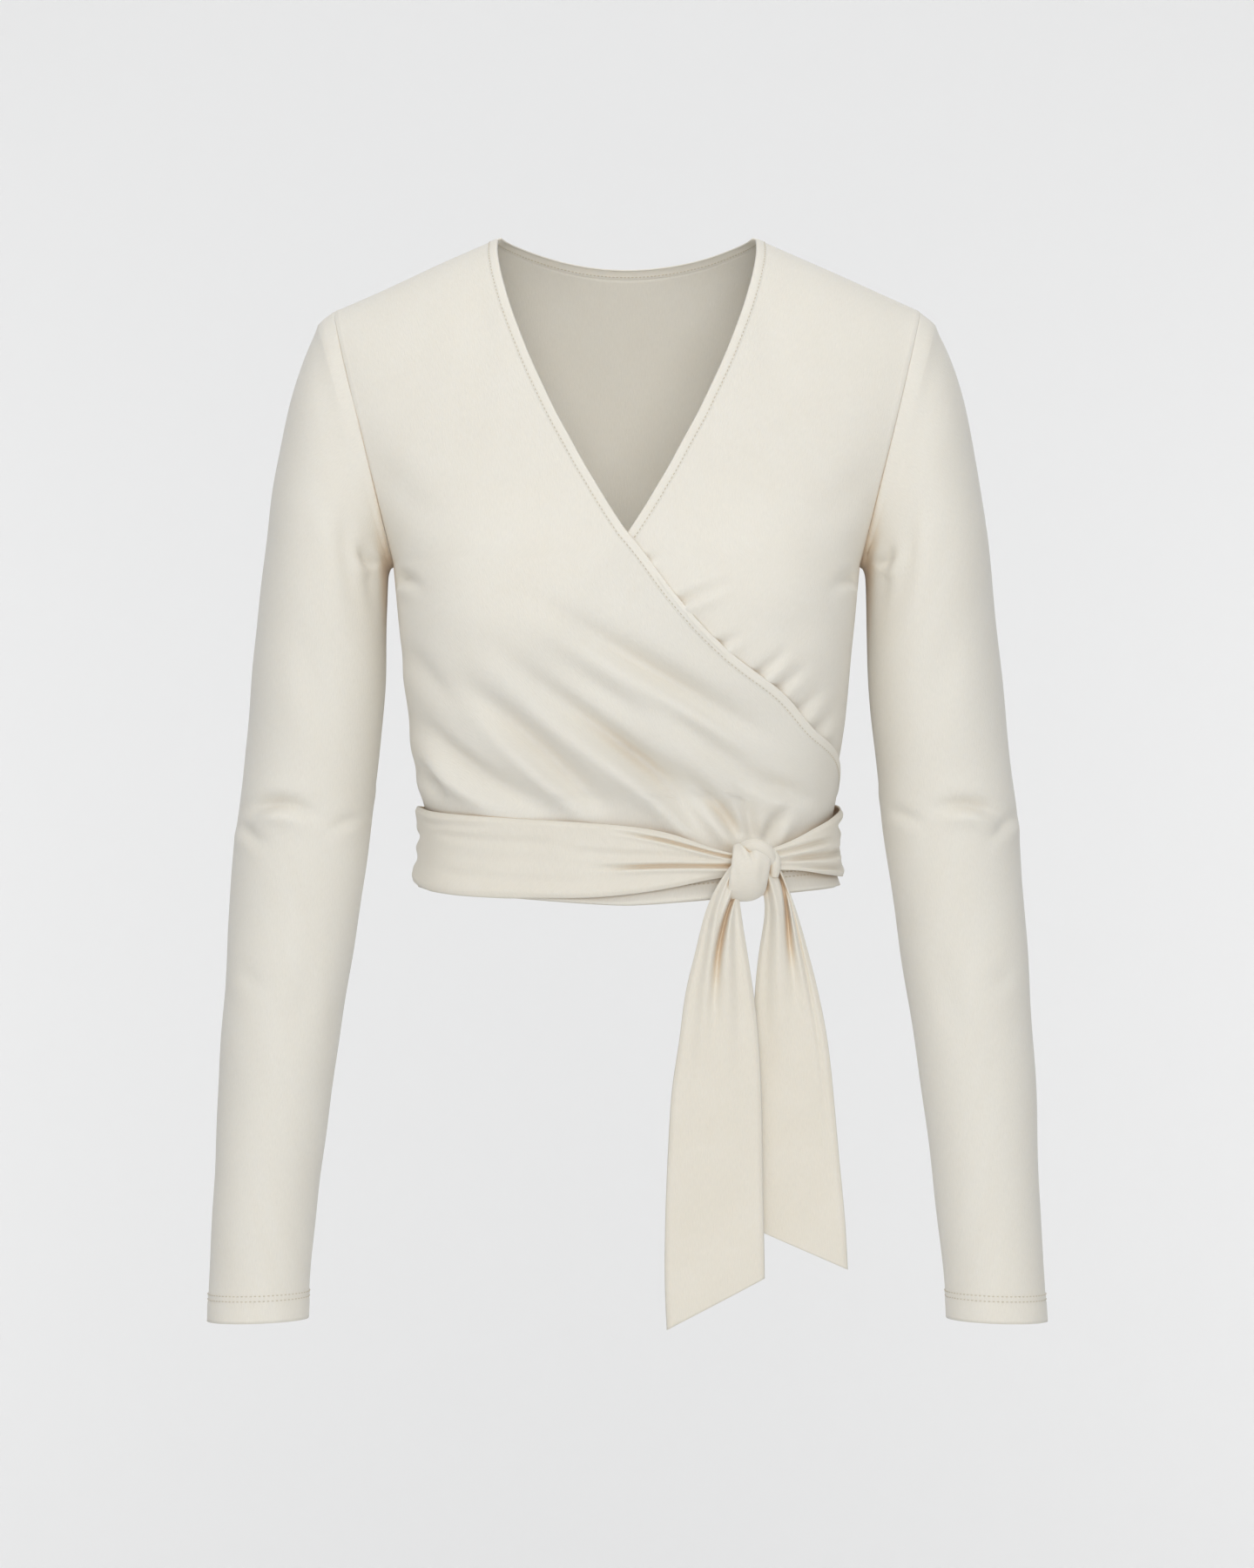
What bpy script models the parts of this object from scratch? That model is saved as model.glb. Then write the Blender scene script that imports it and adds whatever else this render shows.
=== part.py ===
"""Wrap top: a cropped, long-sleeved jersey top whose right front crosses over its left front, tied at the waist.

Metres, +Z up. The front faces -Y and the wearer's left is +X. The origin is the middle of the neck opening,
level with the neck ends of the shoulder seams. Each cut piece is an open surface on the outer face of the cloth,
lofted through sections worked out from the sizes below, and Solidify gives it its wall inward.
"""

import math

import bpy
import numpy as np

WALL = 0.0012  # jersey of the panels and sleeves
BAND_WALL = 0.0018  # folded neckband, double jersey
TIE_WALL = 0.0020  # tie, double jersey
SEAM_GAP = 0.0003  # clear space between two pieces at a seam
BAND_GAP = 0.0005  # the same beside a neckband, which is thicker than its panel
SEAM_ROW = 0.0020  # a row of cloth this wide lies flat beside each seam
LAYER_STEP = 0.0042  # from the outer face of the under front to that of the over front

SHOULDER_TIP = np.array((0.1810, 0.0, -0.0445))
UNDERARM = np.array((0.1430, 0.0, -0.2014))
ARMHOLE_HALF_DEPTH = 0.0480
HEM_Z = -0.3990  # at the side seams
NECK_X = 0.0790  # neck edge at the shoulder seam
NECKBAND_WIDTH = 0.0065
BACK_NECK_DROP = 0.0125
SQUARENESS = 0.07  # third harmonic that flattens the front, back and sides of a torso section
LEAST_LEVEL = 0.0002  # the section at the shoulder seam itself has no depth
ROW_ROUNDING = 0.015  # half width over which a sloping row turns at the centre line

SLIT_TOP_Z = -0.3465  # opening in the right side seam that the under front's tie comes out of
SLIT_BOTTOM_Z = -0.3915
SLIT_SHARE = 0.915  # the slit reaches this far round the back panel, as a share of its half
OVER_END_ANGLE = 100.0  # the over front ends this far round, just past the left side seam
UNDER_END_ANGLE = 88.0  # the under front ends this far round the other way, at the slit
FRONT_END_Z = -0.3450  # height at which both front edges end

# Where the columns of each kind of piece lie, as shares of its width.
PANEL_SEAM_SHARE = 0.012  # a seam row's share of a panel's row
NECK_SHARES = (0.0, 0.32, 0.60, 0.83, 0.96, 0.997)  # closer together where the neck meets the shoulder
BAND_SHARES = (0.0, 0.5, 1.0)
TIE_SHARES = (0.0, 0.23, 0.50, 0.77, 1.0)
TAIL_SHARES = (0.0, 0.17, 0.33, 0.5, 0.67, 0.83, 1.0)
BAND_LEAN = 0.86  # how much of the back neckband's width shows from the front

NORMAL_STEP = 0.004  # levels and radians each way from a point, for the form's slopes
LAYER_TURN = 20.0  # the fronts change from side by side to one over the other within this of the centre front
EDGE_REACH = 0.35  # levels above its end over which a front's edge eases round to where it ends
FOLD_END_SHARE = 0.12  # a drape fold still has some depth at its two ends
OVER_TIE_ENDS = (101.0, 383.0)  # degrees round the body
UNDER_TIE_ENDS = (271.8, 31.0)
OVER_TIE_STEPS = 32
UNDER_TIE_STEPS = 28

CREAM = (0.78, 0.76, 0.68, 1.0)
CREAM_SHADE = (0.72, 0.69, 0.60, 1.0)
CLOTH_ROUGHNESS = 0.85


def table(names, *rows):
    """A short table as named columns; the first column is the one that the others are looked up by."""
    return dict(zip(names.split(), np.array(rows, float).T))


# Torso sections from the shoulder seam (level 0) past the underarm (level 1) to the hem (level 2).
# rise is how much a row climbs for each metre that it runs towards the centre line.
TORSO = table(
    "level half_width front back rise",
    (0.00, 0.1810, 0.0000, 0.0000, 0.449),
    (0.10, 0.1800, 0.0190, 0.0210, 0.449),
    (0.20, 0.1780, 0.0360, 0.0400, 0.440),
    (0.30, 0.1740, 0.0500, 0.0560, 0.420),
    (0.40, 0.1700, 0.0605, 0.0680, 0.370),
    (0.50, 0.1620, 0.0690, 0.0770, 0.300),
    (0.60, 0.1560, 0.0770, 0.0830, 0.220),
    (0.70, 0.1510, 0.0845, 0.0870, 0.140),
    (0.80, 0.1470, 0.0915, 0.0888, 0.070),
    (0.90, 0.1450, 0.0958, 0.0897, 0.022),
    (1.00, 0.1426, 0.0974, 0.0900, 0.000),
    (1.03, 0.1412, 0.0986, 0.0898, 0.000),
    (1.10, 0.1400, 0.1014, 0.0885, 0.000),
    (1.20, 0.1394, 0.1042, 0.0860, 0.000),
    (1.33, 0.1375, 0.1036, 0.0800, 0.000),
    (1.50, 0.1338, 0.0960, 0.0715, 0.000),
    (1.65, 0.1288, 0.0885, 0.0655, 0.000),
    (1.74, 0.1255, 0.0840, 0.0625, -0.010),
    (1.82, 0.1225, 0.0815, 0.0610, -0.030),
    (1.91, 0.1228, 0.0822, 0.0625, -0.060),
    (2.00, 0.1285, 0.0860, 0.0670, -0.085),
)

# Edge of a front from the neck point to the far side, seen from the front; the left front is its mirror image.
FRONT_EDGE = table(
    "z x",
    (0.0000, -0.0790),
    (-0.0080, -0.0790),
    (-0.0200, -0.0770),
    (-0.0395, -0.0718),
    (-0.0590, -0.0650),
    (-0.0800, -0.0566),
    (-0.1030, -0.0460),
    (-0.1270, -0.0335),
    (-0.1500, -0.0210),
    (-0.1845, 0.0000),
    (-0.2020, 0.0138),
    (-0.2266, 0.0315),
    (-0.2460, 0.0491),
    (-0.2620, 0.0667),
    (-0.2830, 0.0948),
    (-0.3040, 0.1124),
    (-0.3180, 0.1250),
)

# Largest drape folds of the over front: soft troughs through three points seen from the front.
FRONT_FOLDS = table(
    "start_x start_z middle_x middle_z end_x end_z depth width",
    (-0.0625, -0.2215, 0.0053, -0.2613, 0.0912, -0.3111, 0.0040, 0.0105),
    (-0.0853, -0.2459, -0.0117, -0.3090, 0.0774, -0.3673, 0.0050, 0.0110),
    (-0.1097, -0.2671, -0.0572, -0.3090, -0.0042, -0.3604, 0.0045, 0.0105),
    (-0.1320, -0.2883, -0.0906, -0.3286, -0.0254, -0.3551, 0.0040, 0.0095),
)
FOLD_ROOM = 1.5  # the under front lies clear of the folds: this much deeper ...
FOLD_SPREAD = 2.2  # ... and this much wider

# Soft fullness on each side of the front.
BUST_X = 0.0720
BUST_Z = -0.2220
BUST_REACH = 0.0500
BUST_FULLNESS = 0.0090

# Sleeve sections from the armhole to the cuff: the outer and inner edge seen from the front, and the depth.
SLEEVE = table(
    "place outer_x outer_z inner_x inner_z half_depth centre_y",
    (0, 0.1897, -0.0530, 0.1456, -0.2034, 0.0490, 0.000),
    (1, 0.1982, -0.0690, 0.1464, -0.2052, 0.0500, 0.000),
    (2, 0.2067, -0.0930, 0.1469, -0.2072, 0.0508, -0.001),
    (3, 0.2131, -0.1245, 0.1472, -0.2098, 0.0512, -0.002),
    (4, 0.2189, -0.1560, 0.1473, -0.2140, 0.0512, -0.003),
    (5, 0.2228, -0.1880, 0.1474, -0.2200, 0.0510, -0.004),
    (6, 0.2262, -0.2200, 0.1475, -0.2340, 0.0505, -0.005),
    (7, 0.2300, -0.2580, 0.1480, -0.2650, 0.0490, -0.006),
    (8, 0.2327, -0.2920, 0.1503, -0.2960, 0.0470, -0.008),
    (9, 0.2358, -0.3220, 0.1535, -0.3240, 0.0450, -0.009),
    (10, 0.2385, -0.3440, 0.1554, -0.3440, 0.0437, -0.010),
    (11, 0.2398, -0.3540, 0.1562, -0.3540, 0.0430, -0.011),
    (12, 0.2410, -0.3640, 0.1572, -0.3640, 0.0425, -0.012),
    (13, 0.2442, -0.4080, 0.1632, -0.4060, 0.0405, -0.016),
    (14, 0.2460, -0.4470, 0.1690, -0.4450, 0.0385, -0.022),
    (15, 0.2486, -0.4900, 0.1754, -0.4880, 0.0365, -0.028),
    (16, 0.2504, -0.5380, 0.1815, -0.5360, 0.0345, -0.034),
    (17, 0.2525, -0.5900, 0.1887, -0.5880, 0.0325, -0.038),
    (18, 0.2548, -0.6350, 0.1932, -0.6330, 0.0308, -0.041),
    (19, 0.2560, -0.6630, 0.1948, -0.6610, 0.0303, -0.042),
)
ELBOW_CREASE_PLACE = 11.0  # across the front of the elbow
ELBOW_CREASE_DEPTH = 0.0045
ELBOW_CREASE_REACH = 0.8  # in places of the sleeve table
SLEEVE_SEGMENTS = 12

# The tie of the over front: round the back and the right side, then across the front to the knot.
# Angles run round the body from the centre front by way of the left side. lift is the tie's outer face
# above the panels' outer face, and fullness is how far its two soft ridges stand out.
OVER_TIE = table(
    "angle upper_z lower_z lift fullness",
    (101.0, -0.3465, -0.3965, 0.0048, 0.0000),
    (113.0, -0.3500, -0.3980, 0.0046, 0.0000),
    (134.0, -0.3765, -0.4020, 0.0042, 0.0006),
    (150.0, -0.3765, -0.4020, 0.0078, 0.0010),
    (166.0, -0.3560, -0.4010, 0.0080, 0.0020),
    (200.0, -0.3520, -0.4000, 0.0078, 0.0025),
    (240.0, -0.3495, -0.3980, 0.0076, 0.0025),
    (262.0, -0.3485, -0.3965, 0.0076, 0.0015),
    (275.0, -0.3487, -0.3968, 0.0070, 0.0015),
    (298.0, -0.3515, -0.4000, 0.0060, 0.0024),
    (325.0, -0.3548, -0.4040, 0.0058, 0.0028),
    (350.0, -0.3583, -0.4055, 0.0072, 0.0030),
    (363.0, -0.3612, -0.4025, 0.0088, 0.0032),
    (372.0, -0.3668, -0.3985, 0.0110, 0.0026),
    (378.0, -0.3745, -0.3950, 0.0135, 0.0014),
    (383.0, -0.3800, -0.3925, 0.0165, 0.0006),
)

# The tie of the under front: out of the slit at the right side, round the back and the left side to the knot.
UNDER_TIE = table(
    "angle upper_z lower_z lift fullness",
    (271.8, -0.3500, -0.3880, -0.0034, 0.0000),
    (267.6, -0.3500, -0.3880, -0.0024, 0.0000),
    (261.5, -0.3500, -0.3880, 0.0038, 0.0000),
    (240.0, -0.3490, -0.3900, 0.0042, 0.0003),
    (200.0, -0.3475, -0.3930, 0.0042, 0.0004),
    (168.0, -0.3470, -0.3920, 0.0042, 0.0004),
    (151.0, -0.3460, -0.3725, 0.0044, 0.0004),
    (134.0, -0.3460, -0.3725, 0.0082, 0.0010),
    (112.0, -0.3470, -0.3930, 0.0092, 0.0014),
    (92.0, -0.3487, -0.3949, 0.0094, 0.0016),
    (70.0, -0.3535, -0.3945, 0.0096, 0.0020),
    (52.0, -0.3610, -0.3930, 0.0105, 0.0022),
    (42.0, -0.3690, -0.3905, 0.0135, 0.0014),
    (31.0, -0.3790, -0.3895, 0.0165, 0.0004),
)

# The knot: the tie wound once round both runs, open at its two sides.
KNOT = table(
    "x centre_y centre_z half_depth half_height",
    (0.0604, -0.0985, -0.3880, 0.0120, 0.0165),
    (0.0650, -0.0990, -0.3880, 0.0125, 0.0175),
    (0.0735, -0.0980, -0.3875, 0.0135, 0.0185),
    (0.0815, -0.0960, -0.3870, 0.0125, 0.0180),
    (0.0860, -0.0945, -0.3865, 0.0125, 0.0165),
)
KNOT_SEGMENTS = 16

# The free ends, cut on the slant: edges seen from the front, how far forward, and how deep the soft fold is.
FRONT_TAIL = table(
    "place left_x left_z right_x right_z y fold",
    (0, 0.0500, -0.3925, 0.0570, -0.3935, -0.1010, 0.0000),
    (1, 0.0475, -0.4060, 0.0575, -0.4060, -0.1040, 0.0020),
    (2, 0.0450, -0.4170, 0.0665, -0.4170, -0.1050, 0.0040),
    (3, 0.0408, -0.4370, 0.0721, -0.4370, -0.1040, 0.0060),
    (4, 0.0345, -0.4620, 0.0760, -0.4620, -0.1030, 0.0055),
    (5, 0.0313, -0.4900, 0.0790, -0.4900, -0.1020, 0.0045),
    (6, 0.0265, -0.5200, 0.0806, -0.5200, -0.1010, 0.0035),
    (7, 0.0248, -0.5500, 0.0812, -0.5460, -0.1000, 0.0025),
    (8, 0.0230, -0.5900, 0.0816, -0.5780, -0.0995, 0.0020),
    (9, 0.0224, -0.6300, 0.0822, -0.6080, -0.0990, 0.0015),
    (10, 0.0238, -0.6630, 0.0826, -0.6320, -0.0985, 0.0010),
)
BACK_TAIL = table(
    "place left_x left_z right_x right_z y fold",
    (0, 0.0885, -0.3935, 0.0945, -0.3925, -0.0930, 0.0000),
    (1, 0.0880, -0.4060, 0.0985, -0.4040, -0.0935, 0.0020),
    (2, 0.0825, -0.4180, 0.1030, -0.4160, -0.0930, 0.0045),
    (3, 0.0790, -0.4370, 0.1090, -0.4370, -0.0910, 0.0050),
    (4, 0.0765, -0.4650, 0.1160, -0.4650, -0.0895, 0.0045),
    (5, 0.0755, -0.4950, 0.1215, -0.4950, -0.0880, 0.0035),
    (6, 0.0752, -0.5250, 0.1248, -0.5280, -0.0870, 0.0025),
    (7, 0.0755, -0.5550, 0.1280, -0.5640, -0.0860, 0.0020),
    (8, 0.0775, -0.5830, 0.1315, -0.6000, -0.0855, 0.0015),
    (9, 0.0800, -0.6050, 0.1330, -0.6280, -0.0850, 0.0010),
)


def tangents(slopes):
    """Slope of the curve at each row: the harmonic mean of its neighbours, or flat where they turn."""
    inner = [2 * a * b / (a + b) if a * b > 0 else 0.0 for a, b in zip(slopes, slopes[1:])]
    return np.array([slopes[0], *inner, slopes[-1]])


def look_up(columns, name, value):
    """Smooth value of a column, without overshoot between its rows (monotone cubic)."""
    keys, values = next(iter(columns.values())), columns[name]
    if keys[0] > keys[-1]:
        keys, values = keys[::-1], values[::-1]
    value = min(max(value, keys[0]), keys[-1])
    steps = np.diff(keys)
    slopes = np.diff(values) / steps
    turn = tangents(slopes)
    row = min(int(np.searchsorted(keys, value, side="right")) - 1, len(steps) - 1)
    t = (value - keys[row]) / steps[row]
    start = (1 + 2 * t) * values[row] + t * steps[row] * turn[row]
    end = (3 - 2 * t) * values[row + 1] + (t - 1) * steps[row] * turn[row + 1]
    return float(start * (1 - t) ** 2 + end * t * t)


def smooth_step(low, high, value):
    t = min(max((value - low) / (high - low), 0.0), 1.0)
    return t * t * (3 - 2 * t)


def solve(function, low, high, target):
    """Where a rising function reaches the target, by halving."""
    for _ in range(40):
        middle = (low + high) / 2
        if function(middle) < target:
            low = middle
        else:
            high = middle
    return (low + high) / 2


# The torso's form.


def across(angle):
    """Share of the half width at an angle round the section."""
    return (math.sin(angle) + SQUARENESS * math.sin(3 * angle)) / (1 - SQUARENESS)


def along(angle):
    """Share of the depth at an angle round the section, positive at the front."""
    return (math.cos(angle) - SQUARENESS * math.cos(3 * angle)) / (1 - SQUARENESS)


def rounded(x):
    return math.hypot(x, ROW_ROUNDING)


def armhole_point(turn, shift=0.0):
    """Point of the armhole loop: turn runs from the shoulder tip (0) to the underarm (pi), front side negative."""
    middle = (SHOULDER_TIP + UNDERARM) / 2
    half = (SHOULDER_TIP - UNDERARM) / 2
    outward = np.array((half[2], 0.0, -half[0])) / np.linalg.norm(half)
    depth = np.array((0.0, ARMHOLE_HALF_DEPTH * math.sin(turn), 0.0))
    return middle + half * math.cos(turn) - depth + outward * shift


def section(level, back):
    """Edge point, edge angle, virtual half width, depth and rise of the torso section at a level."""
    level = max(level, LEAST_LEVEL)
    depth = look_up(TORSO, "back" if back else "front", level)
    rise = look_up(TORSO, "rise", level)
    if level < 1:
        edge = armhole_point(math.pi * level, -SEAM_GAP / 2)
        edge_depth = max(abs(edge[1]), SEAM_GAP / 2 if level > 0.5 else 0.0)
        angle = solve(lambda a: -along(a), 0, math.pi / 2, -min(edge_depth / depth, 0.999))
        return edge, angle, edge[0] / across(angle), depth, rise
    half_width = look_up(TORSO, "half_width", level)
    edge = np.array((half_width, 0.0, UNDERARM[2] + (level - 1) * (HEM_Z - UNDERARM[2])))
    angle = math.pi / 2 - SEAM_GAP / 2 / depth
    return edge, angle, half_width, depth, rise


def form(level, angle):
    """Point of the plain form; the angle runs round the body from the centre front by way of the left side."""
    back = math.cos(angle) < 0
    edge, _, half_width, depth, rise = section(level, back)
    x = half_width * across(angle)
    y = -depth * along(angle)
    z = edge[2] + rise * (rounded(edge[0]) - rounded(x))
    return np.array((x, y, z))


def outward_at(level, angle):
    """Unit normal of the form, pointing away from the body."""
    up = max(level - NORMAL_STEP, SEAM_ROW / 2)
    down = min(level + NORMAL_STEP, 2.0)
    fall = form(down, angle) - form(up, angle)
    turn = form(level, angle + NORMAL_STEP) - form(level, angle - NORMAL_STEP)
    normal = np.cross(fall, turn)
    return normal / np.linalg.norm(normal)


def distance_to_fold(x, z, row):
    """Distance from a fold's line and a share that fades to nothing at its two ends."""
    names = ("start", "middle", "end")
    points = [np.array((FRONT_FOLDS[f"{name}_x"][row], FRONT_FOLDS[f"{name}_z"][row])) for name in names]
    here = np.array((x, z))
    best, share = 1.0, 0.0
    for part, (start, end) in enumerate(zip(points, points[1:])):
        run = end - start
        t = min(max(float(np.dot(here - start, run) / np.dot(run, run)), 0.0), 1.0)
        gap = float(np.linalg.norm(here - start - t * run))
        if gap < best:
            best, share = gap, (part + t) / 2
    return best, math.sin(math.pi * (FOLD_END_SHARE + (1 - 2 * FOLD_END_SHARE) * share))


def fold_depth(x, z, spread=1.0):
    """How deep the drape folds push the front in at a place seen from the front."""
    deepest = 0.0
    for row in range(len(FRONT_FOLDS["depth"])):
        gap, share = distance_to_fold(x, z, row)
        reach = FRONT_FOLDS["width"][row] * spread
        deepest = max(deepest, FRONT_FOLDS["depth"][row] * share * math.exp(-(gap / reach) ** 2))
    return deepest


def bust(point):
    gap = math.hypot(abs(point[0]) - BUST_X, point[2] - BUST_Z) / BUST_REACH
    return BUST_FULLNESS * math.exp(-gap ** 3) if point[1] < 0 else 0.0


def panel_point(level, angle, lift=0.0, layer="single"):
    """Point on a panel's outer face. layer is single, over or under."""
    base = form(level, angle)
    offset = lift + bust(base)
    if layer != "single":
        rising = smooth_step(math.radians(-LAYER_TURN), math.radians(LAYER_TURN), angle)
        offset += LAYER_STEP * (rising if layer == "over" else rising - 1)
    if layer == "over":
        offset -= fold_depth(base[0], base[2])
    if layer == "under":
        offset -= fold_depth(base[0], base[2], FOLD_SPREAD) * FOLD_ROOM
    return base + outward_at(level, angle) * offset


# Cloth as Blender objects.


def material(name, colour):
    made = bpy.data.materials.new(name)
    made.use_nodes = True
    shader = made.node_tree.nodes["Principled BSDF"]
    shader.inputs["Base Color"].default_value = colour
    shader.inputs["Roughness"].default_value = CLOTH_ROUGHNESS
    shader.inputs["Metallic"].default_value = 0.0
    return made


def cloth(name, sections, wall, colour, closed=False, left_out=()):
    """Loft through sections of equal length, with its wall inward; closed sections meet themselves.

    Rows run down and columns to the wearer's left, so that the faces point out. left_out holds the
    (row, column) of faces that a slit leaves open.
    """
    mesh = bpy.data.meshes.new(name)
    width = len(sections[0])
    points = [tuple(point) for section_points in sections for point in section_points]
    faces = []
    for row in range(len(sections) - 1):
        for column in range(width if closed else width - 1):
            if (row, column) in left_out:
                continue
            after = (column + 1) % width
            upper, lower = row * width, (row + 1) * width
            faces.append((upper + column, lower + column, lower + after, upper + after))
    mesh.from_pydata(points, [], faces)
    mesh.shade_smooth()
    piece = bpy.data.objects.new(name, mesh)
    piece.data.materials.append(material(f"{name}_jersey", colour))
    solid = piece.modifiers.new("Wall", "SOLIDIFY")
    solid.thickness = wall
    solid.offset = -1.0
    solid.use_even_offset = True
    solid.use_quality_normals = True
    garment.objects.link(piece)
    return piece


# Levels and edges.


def seam_level(distance, side):
    """Level at which the section is this deep, next to the shoulder seam."""
    return solve(lambda level: look_up(TORSO, side, level), 0.0, 0.2, distance)


def level_of(z, angle=math.pi / 2):
    """Level of a height below the underarm, at an angle round the body."""
    return solve(lambda level: -form(level, angle)[2], 1.0, 2.0, -z)


def front_edge():
    """The front's edge as a column of angles looked up by level, on the right front."""
    rows = []
    for z, x in zip(FRONT_EDGE["z"], FRONT_EDGE["x"]):
        level = solve(lambda level: -row_height(level, x), 0.0, 2.0, -z)
        half_width = section(level, False)[2]
        angle = solve(lambda angle: half_width * across(angle), -math.pi / 2, math.pi / 2, x)
        rows.append((level, angle))
    rows.append((level_of(FRONT_END_Z), math.radians(OVER_END_ANGLE)))
    return table("level angle", *rows)


def row_height(level, x):
    edge, _, _, _, rise = section(level, False)
    return edge[2] + rise * (rounded(edge[0]) - rounded(x))


def edge_angle(level, end_angle):
    """Angle of a right front's edge; the last stretch reaches round to where this front ends."""
    angle = look_up(EDGE, "angle", level)
    reach = math.radians(OVER_END_ANGLE - end_angle)
    return angle - reach * smooth_step(END_LEVEL - EDGE_REACH, END_LEVEL, level)


def panel_edge_angle(level, end_angle):
    """Angle at which the front panel stops, a neckband's width short of the edge, and at the end line below."""
    angle = edge_angle(level, end_angle)
    if level > END_LEVEL:
        return angle
    up = max(level - NORMAL_STEP, 0.0)
    down = level + NORMAL_STEP
    along_edge = form(down, edge_angle(down, end_angle)) - form(up, edge_angle(up, end_angle))
    along_row = (form(level, angle + NORMAL_STEP) - form(level, angle - NORMAL_STEP)) / (2 * NORMAL_STEP)
    spread = np.linalg.norm(np.cross(along_row, along_edge)) / np.linalg.norm(along_edge)
    return angle - (NECKBAND_WIDTH + BAND_GAP) / spread


def spaced(*stretches):
    """Levels or shares from several (start, end, steps) stretches, each start given once."""
    values = []
    for start, end, steps in stretches:
        values += [start + (end - start) * step / steps for step in range(steps)]
    return values + [stretches[-1][1]]


# Pieces.


def front_panel(name, side, layer, end_angle, shares):
    """A front from its side seam to its neckband. side is -1 for the right front and 1 for the left."""
    levels = FRONT_LEVELS
    sections = []
    for level in levels:
        start = -section(level, False)[1]
        end = panel_edge_angle(level, end_angle)
        angles = [start + (end - start) * share for share in shares]
        row = [panel_point(level, -side * angle, layer=layer) for angle in angles]
        sections.append(row if side < 0 else row[::-1])
    cloth(name, sections, WALL, CREAM)
    border = [row[-1] if side < 0 else row[0] for row, level in zip(sections, levels) if level <= END_LEVEL]
    normals = [outward_at(level, -side * panel_edge_angle(level, end_angle)) for level in levels[:len(border)]]
    return border, normals


def neckband(border, start_inward, end_inward, flip=False):
    """Sections of a folded band beside a panel's border, made from its points, a little proud of the panel.

    border is the points and normals along the panel's edge. start_inward and end_inward give the direction of
    the cut ends, so that bands meet at the shoulder seams. flip is for a border whose band lies on its right.
    """
    points, normals = border
    last = len(points) - 1
    sections = []
    for place, (point, normal) in enumerate(zip(points, normals)):
        along_border = points[min(place + 1, last)] - points[max(place - 1, 0)]
        inward = np.cross(normal, along_border)
        inward /= np.linalg.norm(inward) * (-1 if flip else 1)
        if place == 0 and start_inward is not None:
            inward = start_inward
        if place == last and end_inward is not None:
            inward = end_inward
        raised = point + normal * SEAM_GAP
        sections.append([raised + inward * (BAND_GAP + NECKBAND_WIDTH * share) for share in BAND_SHARES])
    return sections


def back_panel():
    """The back, with the slit of the under front's tie in its right side seam, and its border at the neck."""
    top = seam_level(SEAM_GAP / 2, "back")
    corner_x = NECK_X + NECKBAND_WIDTH + BAND_GAP
    _, angle, half_width, _, _ = section(top, True)
    corner = solve(lambda share: half_width * across(share * angle), 0.0, 1.0, corner_x)
    half = [corner * share for share in NECK_SHARES]
    half += spaced((corner, SLIT_SHARE, 3), (SLIT_SHARE, 1 - PANEL_SEAM_SHARE, 1)) + [1.0]
    shares = half[:0:-1] + [-share for share in half]
    levels = sorted(BACK_LEVELS + [level_of(SLIT_TOP_Z), level_of(SLIT_BOTTOM_Z)])
    tops = [top if abs(share) >= corner - 1e-6 else neck_level(share) for share in shares]
    sections = []
    for level in [top, seam_level(SEAM_ROW, "back")] + levels:
        row = []
        for share, highest in zip(shares, tops):
            # Rows under the neck start lower and fan out to full spacing at the underarm.
            here = highest + level * (1 - highest) if level < 1 else level
            turn = math.pi - share * section(here, True)[1]
            row.append(panel_point(here, turn))
        sections.append(row)
    slit_rows = [row + 2 for row, level in enumerate(levels)
                 if level_of(SLIT_TOP_Z) <= level < level_of(SLIT_BOTTOM_Z)]
    slit = {(row, column) for row in slit_rows for column in (len(shares) - 3, len(shares) - 2)}
    cloth("back", sections, WALL, CREAM_SHADE, left_out=slit)
    neck = [column for column, share in enumerate(shares) if abs(share) <= corner + 1e-6]
    border = [sections[0][column] for column in neck]
    normals = [outward_at(max(tops[column], top), math.pi - shares[column] * section(tops[column], True)[1])
               for column in neck]
    return border, normals


def neck_level(share):
    """Level at which a column of the back meets the seam of its neckband."""
    reach = NECK_X + NECKBAND_WIDTH + BAND_GAP
    corner_z = row_height(0.0, reach)
    drop = corner_z + BACK_NECK_DROP + NECKBAND_WIDTH * BAND_LEAN

    def below_seam(level):
        _, angle, half_width, _, _ = section(level, True)
        x = half_width * across(share * angle)
        return corner_z - drop * (1 - (x / reach) ** 2) - row_height(level, x)

    return solve(below_seam, 0.0, 1.0, 0.0)


def sleeve_ring(place, side):
    """Ring of the sleeve; its angles start at the outer edge and pass the front first."""
    outer = np.array((look_up(SLEEVE, "outer_x", place), 0.0, look_up(SLEEVE, "outer_z", place)))
    inner = np.array((look_up(SLEEVE, "inner_x", place), 0.0, look_up(SLEEVE, "inner_z", place)))
    middle = (outer + inner) / 2 + np.array((0.0, look_up(SLEEVE, "centre_y", place), 0.0))
    half = (outer - inner) / 2
    depth = look_up(SLEEVE, "half_depth", place)
    crease = ELBOW_CREASE_DEPTH * math.exp(-((place - ELBOW_CREASE_PLACE) / ELBOW_CREASE_REACH) ** 2)
    ring = []
    for segment in range(SLEEVE_SEGMENTS):
        turn = 2 * math.pi * segment / SLEEVE_SEGMENTS
        dent = crease * max(math.sin(turn), 0.0)
        point = middle + half * math.cos(turn) - np.array((0.0, (depth - dent) * math.sin(turn), 0.0))
        ring.append(point * (side, 1, 1))
    return ring[::-1] if side > 0 else ring


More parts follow.
